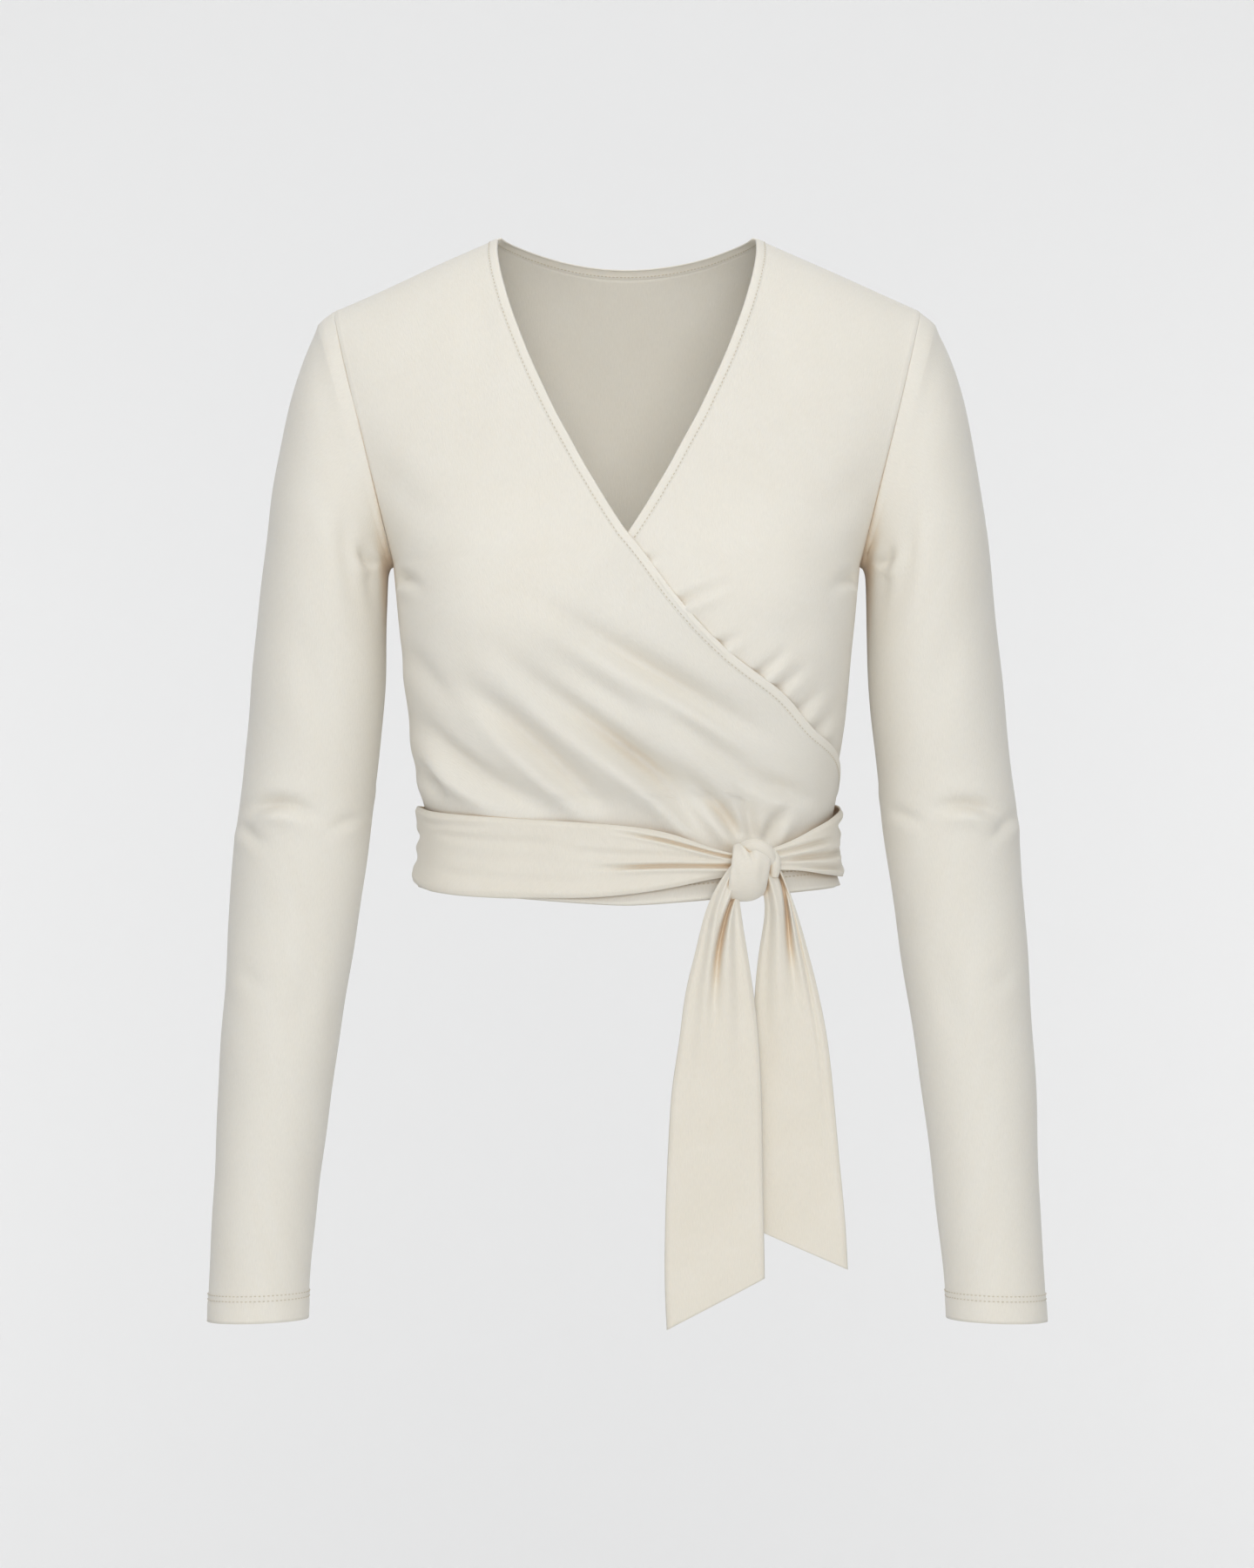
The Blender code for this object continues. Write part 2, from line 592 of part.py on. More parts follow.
def armhole_ring(side, high, low):
    """Ring beside the armhole seam, moved out by high at the shoulder tip and by low at the underarm."""
    ring = []
    for segment in range(SLEEVE_SEGMENTS):
        turn = 2 * math.pi * segment / SLEEVE_SEGMENTS
        shift = low + (high - low) * (1 + math.cos(turn)) / 2
        ring.append(armhole_point(turn, shift) * (side, 1, 1))
    return ring[::-1] if side > 0 else ring


def sleeve(name, side):
    rings = [armhole_ring(side, SEAM_GAP / 2, SEAM_GAP / 2), armhole_ring(side, SEAM_ROW, SEAM_ROW / 4)]
    rings += [sleeve_ring(place, side) for place in SLEEVE["place"]]
    cloth(name, rings, WALL, CREAM_SHADE, closed=True)


def tie_run(name, run, first, last, steps):
    """A stretch of the tie round the waist, with two soft ridges along it."""
    sections = []
    for step in range(steps + 1):
        degrees = first + (last - first) * step / steps
        angle = math.radians(degrees)
        upper, lower, lift, fullness = (look_up(run, column, degrees)
                                        for column in ("upper_z", "lower_z", "lift", "fullness"))
        column = []
        for share in TIE_SHARES:
            level = level_of(upper + (lower - upper) * share, angle)
            height = lift + fullness * abs(math.sin(2 * math.pi * share))
            point = form(level, angle) + outward_at(level, angle) * height
            point[2] = upper + (lower - upper) * share
            column.append(point)
        sections.append(column)
    # Sections become rows that run down and columns that run to the wearer's left.
    if last < first:
        sections.reverse()
    rows = [list(row) for row in zip(*sections)]
    cloth(name, rows, TIE_WALL, CREAM)


def knot():
    """One turn of the tie round both runs."""
    sections = []
    for x, y, z, half_depth, half_height in zip(*KNOT.values()):
        ring = []
        for segment in range(KNOT_SEGMENTS):
            turn = -2 * math.pi * segment / KNOT_SEGMENTS
            ring.append(np.array((x, y + half_depth * math.cos(turn), z + half_height * math.sin(turn))))
        sections.append(ring)
    cloth("knot", sections, TIE_WALL, CREAM, closed=True)


def tail(name, edges):
    """A free end of the tie, softly folded along its middle near the knot."""
    sections = []
    for left_x, left_z, right_x, right_z, y, fold in zip(*list(edges.values())[1:]):
        row = []
        for share in TAIL_SHARES:
            forward = fold * math.sin(2 * math.pi * share)
            row.append(np.array((left_x + (right_x - left_x) * share, y - forward,
                                 left_z + (right_z - left_z) * share)))
        sections.append(row)
    cloth(name, sections, TIE_WALL, CREAM)


for old in list(bpy.data.objects):
    bpy.data.objects.remove(old, do_unlink=True)
garment = bpy.data.collections.new("wrap_top")
bpy.context.scene.collection.children.link(garment)

EDGE = front_edge()
END_LEVEL = float(EDGE["level"][-1])
BACK_LEVELS = spaced((0.07, 1.0, 6), (1.0, 1.1, 1), (1.1, 1.7, 4), (1.7, 2.0, 5))
FRONT_LEVELS = [seam_level(SEAM_GAP / 2, "front"), seam_level(SEAM_ROW, "front")]
FRONT_LEVELS += spaced((0.06, 1.0, 9), (1.0, 1.06, 1), (1.06, 1.42, 4), (1.42, END_LEVEL, 7), (END_LEVEL, 2.0, 4))
OVER_SHARES = [0.0] + spaced((PANEL_SEAM_SHARE, 0.78, 11), (0.78, 1.0, 5))
UNDER_SHARES = [0.0] + spaced((PANEL_SEAM_SHARE, 1.0, 10))

over_border = front_panel("front_right", -1, "over", OVER_END_ANGLE, OVER_SHARES)
under_border = front_panel("front_left", 1, "under", UNDER_END_ANGLE, UNDER_SHARES)
back_border = back_panel()

# The shoulder line's own direction, towards the neck, is where the neckbands meet.
to_neck = np.array((-1.0, 0.0, TORSO["rise"][0])) / math.hypot(1.0, TORSO["rise"][0])
to_neck_from_right = to_neck * (-1, 1, 1)
bands = {
    "neckband_right": neckband(over_border, to_neck_from_right, None),
    "neckband_left": [row[::-1] for row in neckband(under_border, to_neck, None, flip=True)],
    "neckband_back": neckband(back_border, to_neck, to_neck_from_right),
}
for name, sections in bands.items():
    cloth(name, sections, BAND_WALL, CREAM)

for side, name in ((-1, "sleeve_right"), (1, "sleeve_left")):
    sleeve(name, side)
tie_run("tie_over", OVER_TIE, *OVER_TIE_ENDS, OVER_TIE_STEPS)
tie_run("tie_under", UNDER_TIE, *UNDER_TIE_ENDS, UNDER_TIE_STEPS)
knot()
tail("tail_front", FRONT_TAIL)
tail("tail_back", BACK_TAIL)
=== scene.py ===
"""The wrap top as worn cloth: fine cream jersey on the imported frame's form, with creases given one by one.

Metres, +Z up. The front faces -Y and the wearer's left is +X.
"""

import math

import bpy
import numpy as np
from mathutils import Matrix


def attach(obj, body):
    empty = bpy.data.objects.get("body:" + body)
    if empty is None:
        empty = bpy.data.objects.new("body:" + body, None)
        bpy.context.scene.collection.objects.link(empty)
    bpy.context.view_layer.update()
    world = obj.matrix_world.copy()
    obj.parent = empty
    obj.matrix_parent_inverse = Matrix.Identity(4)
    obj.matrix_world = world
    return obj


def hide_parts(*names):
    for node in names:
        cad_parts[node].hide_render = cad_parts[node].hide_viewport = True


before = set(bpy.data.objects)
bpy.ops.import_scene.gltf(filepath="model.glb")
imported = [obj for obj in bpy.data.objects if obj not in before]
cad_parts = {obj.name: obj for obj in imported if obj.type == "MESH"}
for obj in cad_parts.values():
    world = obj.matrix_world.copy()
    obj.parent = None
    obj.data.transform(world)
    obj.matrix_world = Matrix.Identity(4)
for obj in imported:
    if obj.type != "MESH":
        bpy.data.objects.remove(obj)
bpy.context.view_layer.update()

# Thickness of the cloth: one layer, the folded neckband and the folded tie.
SHELL = 0.0007
BAND_SHELL = 0.0010
TIE_SHELL = 0.0012

# The cut. A front's end angle is in degrees round the body, from the middle to the side that it crosses to.
SHOULDER_TIP = np.array((0.1810, 0.0, -0.0445))
UNDERARM = np.array((0.1430, 0.0, -0.2014))
ARMHOLE_HALF_DEPTH = 0.0480
HEM_Z = -0.3990
NECK_X = 0.0790
NECKBAND_WIDTH = 0.0065
BACK_NECK_DROP = 0.0125
BAND_LEAN = 0.86  # how far the back neckband rises, as a share of its width
OVER_END_ANGLE = 100.0
UNDER_END_ANGLE = 88.0
FRONT_END_Z = -0.3450
SLIT_Z = (-0.3915, -0.3465)
SLIT_REACH = -0.915  # as a share of the way from the middle of the back to its right side
HEM_DEPTH = 0.0135
CUFF_DEPTH = 0.0175

# The torso's form. Levels run from the shoulder seam (0) past the underarm (1) to the hem (2).
SQUARENESS = 0.07
ROW_ROUNDING = 0.015
LEAST_LEVEL = 0.0002
LEAST_DEPTH = 0.00001
SHOULDER_SEAM = 0.0009  # the level that a panel starts at
EASE_START = 0.55  # the levels between which rows go over to being counted by height
EASE_END = 0.90
SLOPE_STEP = 0.004  # of level or angle, for the form's slopes
LAYER_STEP = 0.0030  # from the under front to the over front
LAYER_TURN = math.radians(20)  # the fronts part over this angle on each side of the middle
COVER_TURN = math.radians(9)  # how far in from the wrap edge the under front is fully covered
BUST_X = 0.0720
BUST_Z = -0.2220
BUST_REACH = 0.0500
BUST_FULLNESS = 0.0090
UNDER_SHORTENING = 0.35  # the levels over which the under front's edge falls back to its own end
EDGE_INSET = 0.0030  # from the wrap edge to the front's last column, under the neckband
INSET_FADE = 0.03  # the levels over which that inset ends
BAND_SEAM = 0.0038  # from there to the neckband's seam

# How far tables are rounded over, in their own first columns.
TORSO_SOFTENING = 0.035
EDGE_SOFTENING = 0.010
SLEEVE_SOFTENING = 0.45
TIE_SOFTENING = 4.0
TAIL_SOFTENING = 0.35
KNOT_SOFTENING = 0.35
LOBE_SOFTENING = 0.3

# Creases. A crease's ridges are placed and sized in its own widths; the near one is on its lower side.
NEAR_RIDGE_PLACE = 1.75
NEAR_RIDGE_WIDTH = 1.25
FAR_RIDGE = 0.35  # as a share of the near one
FAR_RIDGE_PLACE = 1.9
FAR_RIDGE_WIDTH = 1.5
TIE_RIDGES = ((-1.7, 0.45), (1.7, 0.55))  # place and height of a tie fold's two ridges
TIE_RIDGE_WIDTH = 1.2
TIE_FADE = 0.3  # of a tie fold's length, at each end
EDGE_CALM = 0.25  # the share of a crease's depth that is left along the wrap edge
CALM_REACH = (0.002, 0.016)
SIDE_REACH = (-0.002, 0.010)  # a front's creases fade out here at its side seam
HIDDEN_SPREAD = 1.5  # the under front gives way below the over front's creases, wider and deeper
HIDDEN_DEPTH = 1.1
# Wave length and height of the slow unevenness.
FRONT_WAVES = (0.075, 0.00035)
BACK_WAVES = (0.08, 0.0004)
SLEEVE_WAVES = (0.07, 0.00045)
TIE_WAVES = (0.05, 0.0003)
TAIL_WAVES = (0.06, 0.0006)

# Seams, hems and stitches.
SEAM_DIP = 0.00025
SEAM_RIDGE = 0.00015
SEAM_REACH = 0.0012
HEM_THICKNESS = 0.0004
STITCH_ROWS = (0.0008, 0.0040)  # above a hem's turned edge
GROOVE_DEPTH = 0.00045
GROOVE_WIDTH = 0.0007
STITCH_PITCH = 0.0027
BACK_STITCH_PITCH = 0.0024
STITCH_LENGTH = 0.0017
STITCH_WIDTH = 0.00028
STITCH_RISE = 0.0003
FOLD_EDGE = 0.0016  # how far in a folded edge of the tie rounds over
RUN_EDGE_DROP = 0.0018
TAIL_EDGE_DROP = 0.0016
TINY = 1e-12

# Colours.
CREAM = (0.845, 0.810, 0.730, 1.0)
CREAM_SHADE = (0.832, 0.792, 0.706, 1.0)
TIE_CREAM = (0.815, 0.775, 0.690, 1.0)
TIE_SHADE = (0.795, 0.752, 0.660, 1.0)
THREAD = (0.66, 0.60, 0.48, 1.0)
THREAD_SHADE = (0.63, 0.57, 0.45, 1.0)
# Painted shade: the warm tan mixed into the cloth's colour in hollows, creases and gaps between layers.
PAINTED_HOLLOW_SHADE = (0.70, 0.55, 0.38, 1.0)
PALE = (0.88, 0.88, 0.88, 1.0)
WHITE = (1.0, 1.0, 1.0)
JERSEY = {
    "Roughness": 0.82,
    "Specular IOR Level": 0.25,
    "Subsurface Weight": 0.20,
    "Subsurface Radius": (1.0, 0.84, 0.66),
    "Subsurface Scale": 0.0025,
    "Sheen Weight": 0.25,
    "Sheen Roughness": 0.5,
}
WALE_SCALE = (1500.0, 240.0, 1.0)
SLUB_SCALE = 26.0


def table(names, *rows):
    """A short table as named columns; the first column is the one that the others are looked up by."""
    return dict(zip(names.split(), np.array(rows, float).T))


TORSO = table(
    "level half_width front back rise",
    (0.00, 0.1810, 0.0000, 0.0000, 0.449),
    (0.10, 0.1800, 0.0190, 0.0210, 0.449),
    (0.20, 0.1780, 0.0360, 0.0400, 0.440),
    (0.30, 0.1740, 0.0500, 0.0560, 0.420),
    (0.40, 0.1700, 0.0605, 0.0680, 0.370),
    (0.50, 0.1620, 0.0690, 0.0770, 0.300),
    (0.60, 0.1560, 0.0770, 0.0830, 0.220),
    (0.70, 0.1510, 0.0845, 0.0870, 0.140),
    (0.80, 0.1470, 0.0915, 0.0888, 0.070),
    (0.90, 0.1436, 0.0958, 0.0897, 0.022),
    (1.00, 0.1430, 0.0974, 0.0900, 0.000),
    (1.03, 0.1424, 0.0986, 0.0898, 0.000),
    (1.10, 0.1408, 0.1014, 0.0885, 0.000),
    (1.20, 0.1396, 0.1042, 0.0860, 0.000),
    (1.33, 0.1375, 0.1036, 0.0800, 0.000),
    (1.50, 0.1338, 0.0960, 0.0715, 0.000),
    (1.65, 0.1288, 0.0885, 0.0655, 0.000),
    (1.74, 0.1255, 0.0840, 0.0625, -0.010),
    (1.82, 0.1225, 0.0815, 0.0610, -0.030),
    (1.91, 0.1228, 0.0822, 0.0625, -0.060),
    (2.00, 0.1285, 0.0860, 0.0670, -0.085),
)
FRONT_EDGE = table(
    "z x",
    (0.0000, -0.0790),
    (-0.0080, -0.0790),
    (-0.0200, -0.0770),
    (-0.0395, -0.0718),
    (-0.0590, -0.0650),
    (-0.0800, -0.0566),
    (-0.1030, -0.0460),
    (-0.1270, -0.0335),
    (-0.1500, -0.0210),
    (-0.1845, 0.0000),
    (-0.2020, 0.0138),
    (-0.2266, 0.0315),
    (-0.2460, 0.0491),
    (-0.2620, 0.0667),
    (-0.2830, 0.0948),
    (-0.3040, 0.1124),
    (-0.3180, 0.1250),
)
SLEEVE = table(
    "place outer_x outer_z inner_x inner_z half_depth centre_y",
    (0, 0.1897, -0.0530, 0.1456, -0.2034, 0.0490, 0.000),
    (1, 0.1982, -0.0690, 0.1464, -0.2052, 0.0500, 0.000),
    (2, 0.2067, -0.0930, 0.1469, -0.2072, 0.0508, -0.001),
    (3, 0.2131, -0.1245, 0.1472, -0.2098, 0.0512, -0.002),
    (4, 0.2189, -0.1560, 0.1473, -0.2140, 0.0512, -0.003),
    (5, 0.2228, -0.1880, 0.1474, -0.2200, 0.0510, -0.004),
    (6, 0.2262, -0.2200, 0.1475, -0.2340, 0.0505, -0.005),
    (7, 0.2300, -0.2580, 0.1480, -0.2650, 0.0490, -0.006),
    (8, 0.2327, -0.2920, 0.1503, -0.2960, 0.0470, -0.008),
    (9, 0.2358, -0.3220, 0.1535, -0.3240, 0.0450, -0.009),
    (10, 0.2385, -0.3440, 0.1554, -0.3440, 0.0437, -0.010),
    (11, 0.2398, -0.3540, 0.1562, -0.3540, 0.0430, -0.011),
    (12, 0.2410, -0.3640, 0.1572, -0.3640, 0.0425, -0.012),
    (13, 0.2442, -0.4080, 0.1632, -0.4060, 0.0405, -0.016),
    (14, 0.2460, -0.4470, 0.1690, -0.4450, 0.0385, -0.022),
    (15, 0.2486, -0.4900, 0.1754, -0.4880, 0.0365, -0.028),
    (16, 0.2504, -0.5380, 0.1815, -0.5360, 0.0345, -0.034),
    (17, 0.2525, -0.5900, 0.1887, -0.5880, 0.0325, -0.038),
    (18, 0.2548, -0.6350, 0.1932, -0.6330, 0.0308, -0.041),
    (19, 0.2560, -0.6630, 0.1948, -0.6610, 0.0303, -0.042),
)
OVER_TIE = table(
    "angle upper_z lower_z lift",
    (101.0, -0.3465, -0.3965, 0.0040),
    (113.0, -0.3500, -0.3980, 0.0040),
    (134.0, -0.3765, -0.4020, 0.0040),
    (150.0, -0.3765, -0.4020, 0.0068),
    (166.0, -0.3560, -0.4010, 0.0072),
    (200.0, -0.3520, -0.4000, 0.0070),
    (240.0, -0.3495, -0.3980, 0.0068),
    (262.0, -0.3485, -0.3965, 0.0066),
    (275.0, -0.3487, -0.3968, 0.0058),
    (298.0, -0.3515, -0.4000, 0.0046),
    (325.0, -0.3548, -0.4040, 0.0046),
    (350.0, -0.3583, -0.4055, 0.0064),
    (363.0, -0.3612, -0.4025, 0.0084),
    (372.0, -0.3668, -0.3985, 0.0108),
    (378.0, -0.3745, -0.3950, 0.0135),
    (386.0, -0.3800, -0.3925, 0.0165),
)
UNDER_TIE = table(
    "angle upper_z lower_z lift",
    (271.8, -0.3500, -0.3880, -0.0030),
    (267.6, -0.3500, -0.3880, -0.0020),
    (261.5, -0.3500, -0.3880, 0.0030),
    (240.0, -0.3490, -0.3900, 0.0036),
    (200.0, -0.3475, -0.3930, 0.0036),
    (168.0, -0.3470, -0.3920, 0.0036),
    (151.0, -0.3460, -0.3725, 0.0038),
    (134.0, -0.3460, -0.3725, 0.0072),
    (112.0, -0.3470, -0.3930, 0.0082),
    (92.0, -0.3487, -0.3949, 0.0084),
    (70.0, -0.3535, -0.3945, 0.0088),
    (52.0, -0.3610, -0.3930, 0.0100),
    (42.0, -0.3690, -0.3905, 0.0132),
    (29.0, -0.3790, -0.3895, 0.0165),
)
FRONT_TAIL = table(
    "place left_x left_z right_x right_z y",
    (0, 0.0650, -0.3810, 0.0720, -0.3830, -0.0990),
    (1, 0.0570, -0.3915, 0.0665, -0.3970, -0.1035),
    (2, 0.0472, -0.4100, 0.0680, -0.4110, -0.1050),
    (3, 0.0408, -0.4370, 0.0721, -0.4370, -0.1040),
    (4, 0.0345, -0.4620, 0.0760, -0.4620, -0.1030),
    (5, 0.0313, -0.4900, 0.0790, -0.4900, -0.1020),
    (6, 0.0265, -0.5200, 0.0806, -0.5200, -0.1010),
    (7, 0.0248, -0.5500, 0.0812, -0.5460, -0.1000),
    (8, 0.0230, -0.5900, 0.0816, -0.5780, -0.0995),
    (9, 0.0224, -0.6300, 0.0822, -0.6080, -0.0990),
    (10, 0.0238, -0.6630, 0.0826, -0.6320, -0.0985),
)
BACK_TAIL = table(
    "place left_x left_z right_x right_z y",
    (0, 0.0770, -0.3840, 0.0850, -0.3800, -0.0960),
    (1, 0.0815, -0.3990, 0.0945, -0.3930, -0.0965),
    (2, 0.0830, -0.4130, 0.1015, -0.4110, -0.0945),
    (3, 0.0790, -0.4370, 0.1090, -0.4370, -0.0910),
    (4, 0.0765, -0.4650, 0.1160, -0.4650, -0.0895),
    (5, 0.0755, -0.4950, 0.1215, -0.4950, -0.0880),
    (6, 0.0752, -0.5250, 0.1248, -0.5280, -0.0870),
    (7, 0.0755, -0.5550, 0.1280, -0.5640, -0.0860),
    (8, 0.0775, -0.5830, 0.1315, -0.6000, -0.0855),
    (9, 0.0800, -0.6050, 0.1330, -0.6280, -0.0850),
)

# Creases: a soft trough through three points seen from the front, with a ridge along its lower side.
# peak is where along its run it is deepest, and ridge is the ridge's height as a share of the depth.
CREASE = "x0 z0 x1 z1 x2 z2 depth width ridge peak"
OVER_CREASES = table(
    CREASE,
    (-0.0700, -0.2160, 0.0120, -0.2660, 0.0990, -0.3160, 0.0092, 0.0072, 0.55, 0.60),
    (-0.0920, -0.2420, -0.0117, -0.3075, 0.0800, -0.3690, 0.0108, 0.0076, 0.60, 0.62),
    (-0.1130, -0.2640, -0.0572, -0.3090, 0.0020, -0.3640, 0.0087, 0.0072, 0.55, 0.60),
    (-0.1330, -0.2860, -0.0906, -0.3286, -0.0254, -0.3560, 0.0087, 0.0064, 0.60, 0.45),
    (-0.1270, -0.3180, -0.1171, -0.3334, -0.1070, -0.3460, 0.0051, 0.0043, 0.50, 0.50),
    (0.0690, -0.3270, 0.0912, -0.3376, 0.1150, -0.3470, 0.0045, 0.0051, 0.60, 0.50),
    (-0.0380, -0.2880, 0.0130, -0.3300, 0.0560, -0.3760, 0.0059, 0.0051, 0.50, 0.75),
    (-0.0100, -0.2660, 0.0450, -0.3080, 0.0960, -0.3490, 0.0045, 0.0064, 0.50, 0.50),
    (0.0180, -0.3180, 0.0500, -0.3440, 0.0720, -0.3760, 0.0069, 0.0043, 0.60, 0.80),
    (0.0560, -0.3270, 0.0700, -0.3480, 0.0760, -0.3740, 0.0054, 0.0036, 0.50, 0.85),
    (0.1020, -0.3450, 0.0900, -0.3570, 0.0820, -0.3740, 0.0051, 0.0038, 0.50, 0.80),
    (-0.0560, -0.2480, -0.0150, -0.2790, 0.0260, -0.3020, 0.0032, 0.0068, 0.50, 0.50),
    (-0.0900, -0.2830, -0.0500, -0.3230, -0.0080, -0.3560, 0.0037, 0.0051, 0.50, 0.60),
    (-0.1260, -0.2990, -0.1000, -0.3290, -0.0640, -0.3560, 0.0032, 0.0047, 0.40, 0.60),
    (-0.1360, -0.2450, -0.1180, -0.2720, -0.0900, -0.2960, 0.0028, 0.0068, 0.40, 0.40),
    (-0.1400, -0.2100, -0.1290, -0.2130, -0.1150, -0.2240, 0.0041, 0.0038, 0.40, 0.20),
    (-0.0780, -0.0300, -0.0900, -0.0700, -0.0860, -0.1200, 0.0015, 0.0102, 0.30, 0.40),
    (-0.1560, -0.1300, -0.1300, -0.1650, -0.0950, -0.1800, 0.0019, 0.0102, 0.30, 0.30),
)
UNDER_CREASES = table(
    CREASE,
    (0.0040, -0.2035, 0.0135, -0.2008, 0.0215, -0.1970, 0.0023, 0.0025, 0.90, 0.35),
    (0.0240, -0.2310, 0.0440, -0.2230, 0.0680, -0.2150, 0.0035, 0.0032, 0.90, 0.30),
    (0.0440, -0.2560, 0.0570, -0.2515, 0.0720, -0.2440, 0.0032, 0.0029, 0.80, 0.30),
    (0.0700, -0.2740, 0.0850, -0.2640, 0.0980, -0.2500, 0.0030, 0.0034, 0.70, 0.30),
    (0.0800, -0.2850, 0.0950, -0.2745, 0.1120, -0.2590, 0.0026, 0.0032, 0.70, 0.30),
    (0.0960, -0.2970, 0.1090, -0.2870, 0.1230, -0.2720, 0.0026, 0.0036, 0.60, 0.30),
    (0.1100, -0.3080, 0.1200, -0.2980, 0.1290, -0.2860, 0.0023, 0.0032, 0.60, 0.30),
    (0.0600, -0.2320, 0.0950, -0.2420, 0.1330, -0.2340, 0.0026, 0.0126, 0.30, 0.55),
    (0.1400, -0.2100, 0.1290, -0.2130, 0.1150, -0.2240, 0.0035, 0.0040, 0.40, 0.20),
    (0.0780, -0.0300, 0.0900, -0.0700, 0.0860, -0.1200, 0.0014, 0.0108, 0.30, 0.40),
    (0.1560, -0.1300, 0.1300, -0.1650, 0.0950, -0.1800, 0.0016, 0.0108, 0.30, 0.30),
    (0.1360, -0.3250, 0.1180, -0.3340, 0.1050, -0.3440, 0.0023, 0.0045, 0.40, 0.50),
)
BACK_CREASES = table(
    CREASE,
    (-0.1320, -0.2500, -0.0800, -0.2960, -0.0200, -0.3300, 0.0045, 0.0090, 0.50, 0.40),
    (0.1320, -0.2540, 0.0820, -0.3000, 0.0260, -0.3280, 0.0042, 0.0090, 0.50, 0.40),
    (-0.1280, -0.2880, -0.0900, -0.3180, -0.0480, -0.3440, 0.0038, 0.0070, 0.50, 0.45),
    (0.1280, -0.2920, 0.0860, -0.3220, 0.0420, -0.3450, 0.0035, 0.0070, 0.50, 0.45),
    (-0.1250, -0.3180, -0.1050, -0.3320, -0.0800, -0.3450, 0.0029, 0.0050, 0.50, 0.45),
    (0.1240, -0.3200, 0.1030, -0.3330, 0.0820, -0.3460, 0.0029, 0.0050, 0.50, 0.45),
    (-0.0560, -0.3180, 0.0000, -0.3260, 0.0600, -0.3160, 0.0035, 0.0080, 0.40, 0.50),
    (-0.1400, -0.2120, -0.1200, -0.2200, -0.0980, -0.2150, 0.0029, 0.0055, 0.40, 0.25),
    (0.1400, -0.2120, 0.1200, -0.2200, 0.0980, -0.2150, 0.0029, 0.0055, 0.40, 0.25),
    (-0.1400, -0.1500, -0.1080, -0.1760, -0.0800, -0.1780, 0.0022, 0.0110, 0.30, 0.35),
    (0.1400, -0.1500, 0.1080, -0.1760, 0.0800, -0.1780, 0.0022, 0.0110, 0.30, 0.35),
)
# On a sleeve, x runs outward; the same creases mirrored on the other sleeve, except for the elbows.
SLEEVE_CREASES = table(
    CREASE,
    (0.1760, -0.1600, 0.1680, -0.2050, 0.1610, -0.2550, 0.0024, 0.0063, 0.50, 0.35),
    (0.1620, -0.1820, 0.1570, -0.2100, 0.1540, -0.2450, 0.0024, 0.0040, 0.40, 0.35),
    (0.1960, -0.2300, 0.1900, -0.2750, 0.1790, -0.3180, 0.0015, 0.0081, 0.40, 0.50),
    (0.1860, -0.4200, 0.1960, -0.4650, 0.2050, -0.5100, 0.0012, 0.0081, 0.40, 0.50),
    (0.2380, -0.4400, 0.2260, -0.4560, 0.2100, -0.4600, 0.0012, 0.0054, 0.40, 0.40),
    (0.1520, -0.2030, 0.1580, -0.1980, 0.1640, -0.1880, 0.0033, 0.0036, 0.50, 0.20),
)
RIGHT_ELBOW = table(
    CREASE,
    (0.2370, -0.3600, 0.2100, -0.3475, 0.1800, -0.3640, 0.0059, 0.0047, 0.65, 0.42),
    (0.2400, -0.3560, 0.2270, -0.3680, 0.2120, -0.3760, 0.0022, 0.0040, 0.50, 0.35),
    (0.1580, -0.3560, 0.1740, -0.3600, 0.1900, -0.3720, 0.0016, 0.0040, 0.50, 0.35),
)
LEFT_ELBOW = table(
    CREASE,
    (0.1800, -0.3560, 0.2090, -0.3485, 0.2390, -0.3640, 0.0054, 0.0045, 0.65, 0.50),
    (0.2410, -0.3500, 0.2270, -0.3640, 0.2150, -0.3730, 0.0022, 0.0040, 0.50, 0.35),
    (0.1570, -0.3500, 0.1720, -0.3560, 0.1880, -0.3660, 0.0016, 0.0040, 0.50, 0.35),
)
BACK_ELBOW = table(
    CREASE,
    (0.2380, -0.3420, 0.2100, -0.3480, 0.1800, -0.3400, 0.0024, 0.0060, 0.50, 0.45),
    (0.2380, -0.3680, 0.2080, -0.3760, 0.1760, -0.3640, 0.0022, 0.0060, 0.50, 0.55),
    (0.1560, -0.3300, 0.1700, -0.3360, 0.1900, -0.3330, 0.0018, 0.0050, 0.50, 0.30),
    (0.1900, -0.2000, 0.1860, -0.2500, 0.1760, -0.3000, 0.0012, 0.0090, 0.40, 0.50),
)

# Creases of the tie: angle round the body and share of the way from its upper to its lower edge.
TIE_CREASE = "angle0 share0 angle1 share1 angle2 share2 depth width"
OVER_TIE_CREASES = table(
    TIE_CREASE,
    (400, 0.62, 372, 0.60, 350, 0.61, 0.0034, 0.0015),
    (400, 0.20, 374, 0.17, 354, 0.08, 0.0026, 0.0012),
    (330, 0.12, 312, 0.14, 288, 0.16, 0.0007, 0.0022),
    (392, 0.42, 366, 0.42, 340, 0.36, 0.0010, 0.0024),
    (352, 0.30, 326, 0.30, 296, 0.24, 0.0007, 0.0030),
    (356, 0.80, 330, 0.78, 300, 0.74, 0.0008, 0.0034),
    (286, 0.36, 262, 0.42, 238, 0.40, 0.0014, 0.0034),
    (282, 0.70, 256, 0.72, 228, 0.66, 0.0013, 0.0034),
    (240, 0.22, 210, 0.28, 176, 0.34, 0.0015, 0.0030),
    (214, 0.60, 180, 0.56, 140, 0.52, 0.0016, 0.0030),
)
